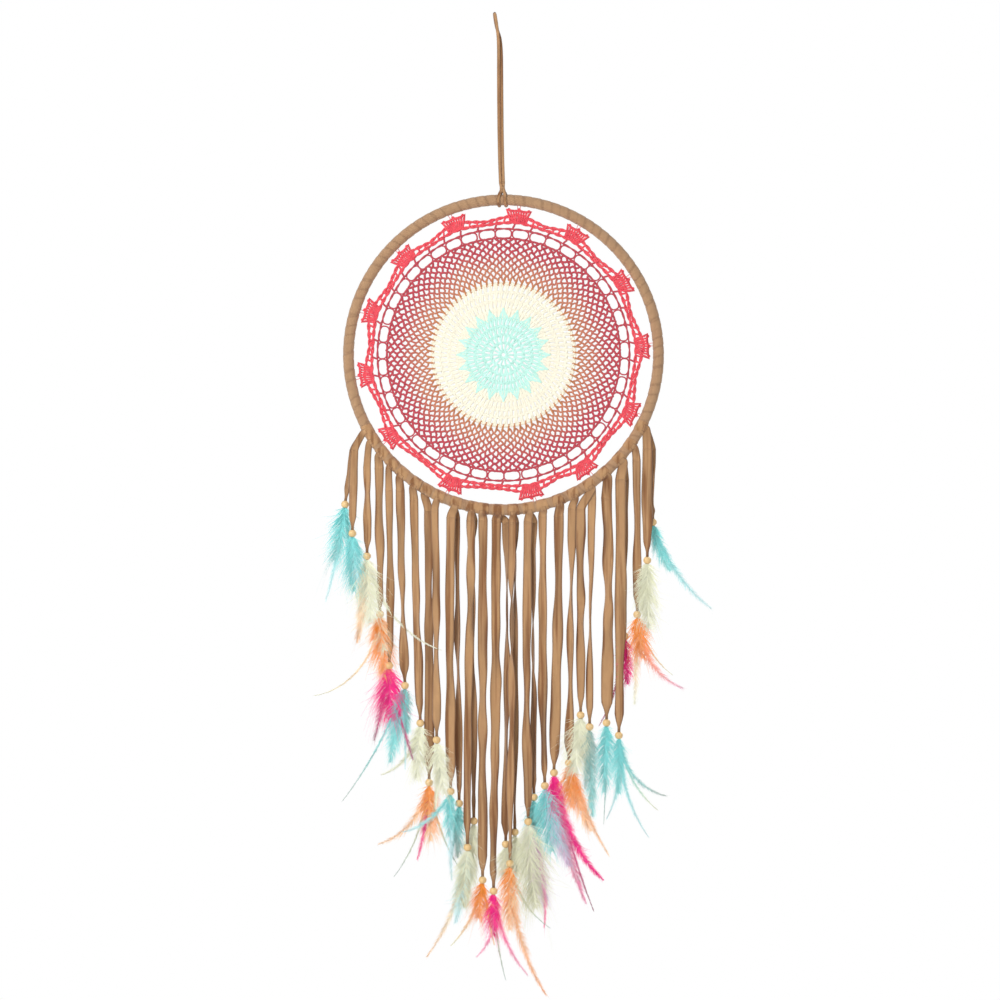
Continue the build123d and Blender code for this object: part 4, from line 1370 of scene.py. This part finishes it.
def strip_shape(tail, number, length, thick, bore):
    """How a strip's width, thickness, turn, painted shade and tone, and curl run along it."""
    chance = random.Random(700 + number)
    collar = 12 * MM / length
    # Strips at the back painted darker as shade, on top of a random darker tone per strip.
    shaded = chance.uniform(0.0, 0.14) + (0.26 if tail.side > 0 else 0.0)
    waves = [(length / chance.uniform(0.05, 0.09) * math.tau * 0.5, chance.uniform(0, 6.3))
             for _ in range(3)]

    def wave(share, which):
        speed, start = waves[which]
        slow = math.sin(share * speed * SLOW_WAVE + start * 2.1)
        return math.sin(share * speed + start) * 0.7 + slow * 0.5

    def settle(share):
        return min(1, share * length / (25 * MM))

    def open_at(share):
        left = min(1, max(0, (1 - share) / collar - 0.35))
        return left * left * (3 - 2 * left)

    def width_at(share):
        full = tail.width * (1.05 + 0.15 * wave(share, 0) * settle(share))
        return bore + (full - bore) * open_at(share)

    def thick_at(share):
        return thick * (1.75 - 0.75 * open_at(share))

    def turn_at(share):
        loose = settle(share) * open_at(share)
        return math.radians((along(tail.twist, share) + 36 * wave(share, 1)) * loose)

    # Darker towards the bead where the strip gathers into its hole; elsewhere the strip's painted shade
    # and tone.
    def shade_and_tone_at(share):
        return max(0.9 * max(0, 1 - (1 - share) / collar), shaded)

    def curl_at(share):
        return 0.24 * wave(share, 2) * open_at(share) * settle(share)

    return width_at, thick_at, turn_at, shade_and_tone_at, curl_at


class DREAM_OT_strips(bpy.types.Operator):
    """Adds the hanging suede strips, each from its hitch into its bead"""
    bl_idname = "dream.strips"
    bl_label = "Strips"

    def execute(self, context):
        sizes = context.scene.dream_catcher_sizes
        for number, tail in enumerate(TAILS, start=1):
            name, bead, plumes = tail_names(number)
            hinge = HINGES[tail_body(tail)]
            depth = tail_depth(tail)
            route = [(x, depth, hinge[2] - drop) for x, drop in tail.route[:-1]]
            end_x, end_drop = tail.route[-1]
            route.append((end_x, depth, hinge[2] - end_drop + sizes.bead * 0.2))
            length = route_length(route)
            line = route_line(route)
            profile = strip_shape(tail, number, length, sizes.strip, sizes.bore * 0.9)
            mesh = ribbon(name, line, *profile)
            strip = piece(name, mesh, "suede", None, "suede_lace", f"lace_{tail.group:02d}")
            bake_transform(strip)
        return {"FINISHED"}


# ------------------------------------------------------------------ panel and start

class DREAM_PT_panel(bpy.types.Panel):
    """Lists the dream catcher's pieces and sizes"""
    bl_label = "Dream Catcher"
    bl_idname = "DREAM_PT_panel"
    bl_space_type = "VIEW_3D"
    bl_region_type = "UI"
    bl_category = "Dream Catcher"

    def draw(self, context):
        for operator in OPERATORS:
            self.layout.operator(operator.bl_idname)
        for group in (context.scene.dream_catcher_sizes, context.scene.dream_catcher_colours):
            for setting in group.bl_rna.properties.keys():
                if setting not in ("rna_type", "name"):
                    self.layout.prop(group, setting)


OPERATORS = (
    DREAM_OT_stage, DREAM_OT_hanging_loop, DREAM_OT_beads, DREAM_OT_feathers, DREAM_OT_strips,
    DREAM_OT_top_hitch, DREAM_OT_hoop, DREAM_OT_doily, DREAM_OT_hitches,
)
CLASSES = (DreamCatcherSizes, DreamCatcherColours, *OPERATORS, DREAM_PT_panel)


def register():
    for cls in CLASSES:
        bpy.utils.register_class(cls)
    bpy.types.Scene.dream_catcher_sizes = bpy.props.PointerProperty(type=DreamCatcherSizes)
    bpy.types.Scene.dream_catcher_colours = bpy.props.PointerProperty(type=DreamCatcherColours)


def unregister():
    del bpy.types.Scene.dream_catcher_colours
    del bpy.types.Scene.dream_catcher_sizes
    for cls in reversed(CLASSES):
        bpy.utils.unregister_class(cls)


def main():
    register()
    bpy.ops.dream.stage()
    bpy.ops.dream.hanging_loop()
    bpy.ops.dream.beads()
    bpy.ops.dream.feathers()
    bpy.ops.dream.strips()
    bpy.ops.dream.top_hitch()
    bpy.ops.dream.hoop()
    bpy.ops.dream.doily()
    bpy.ops.dream.hitches()


if __name__ == "__main__":
    main()
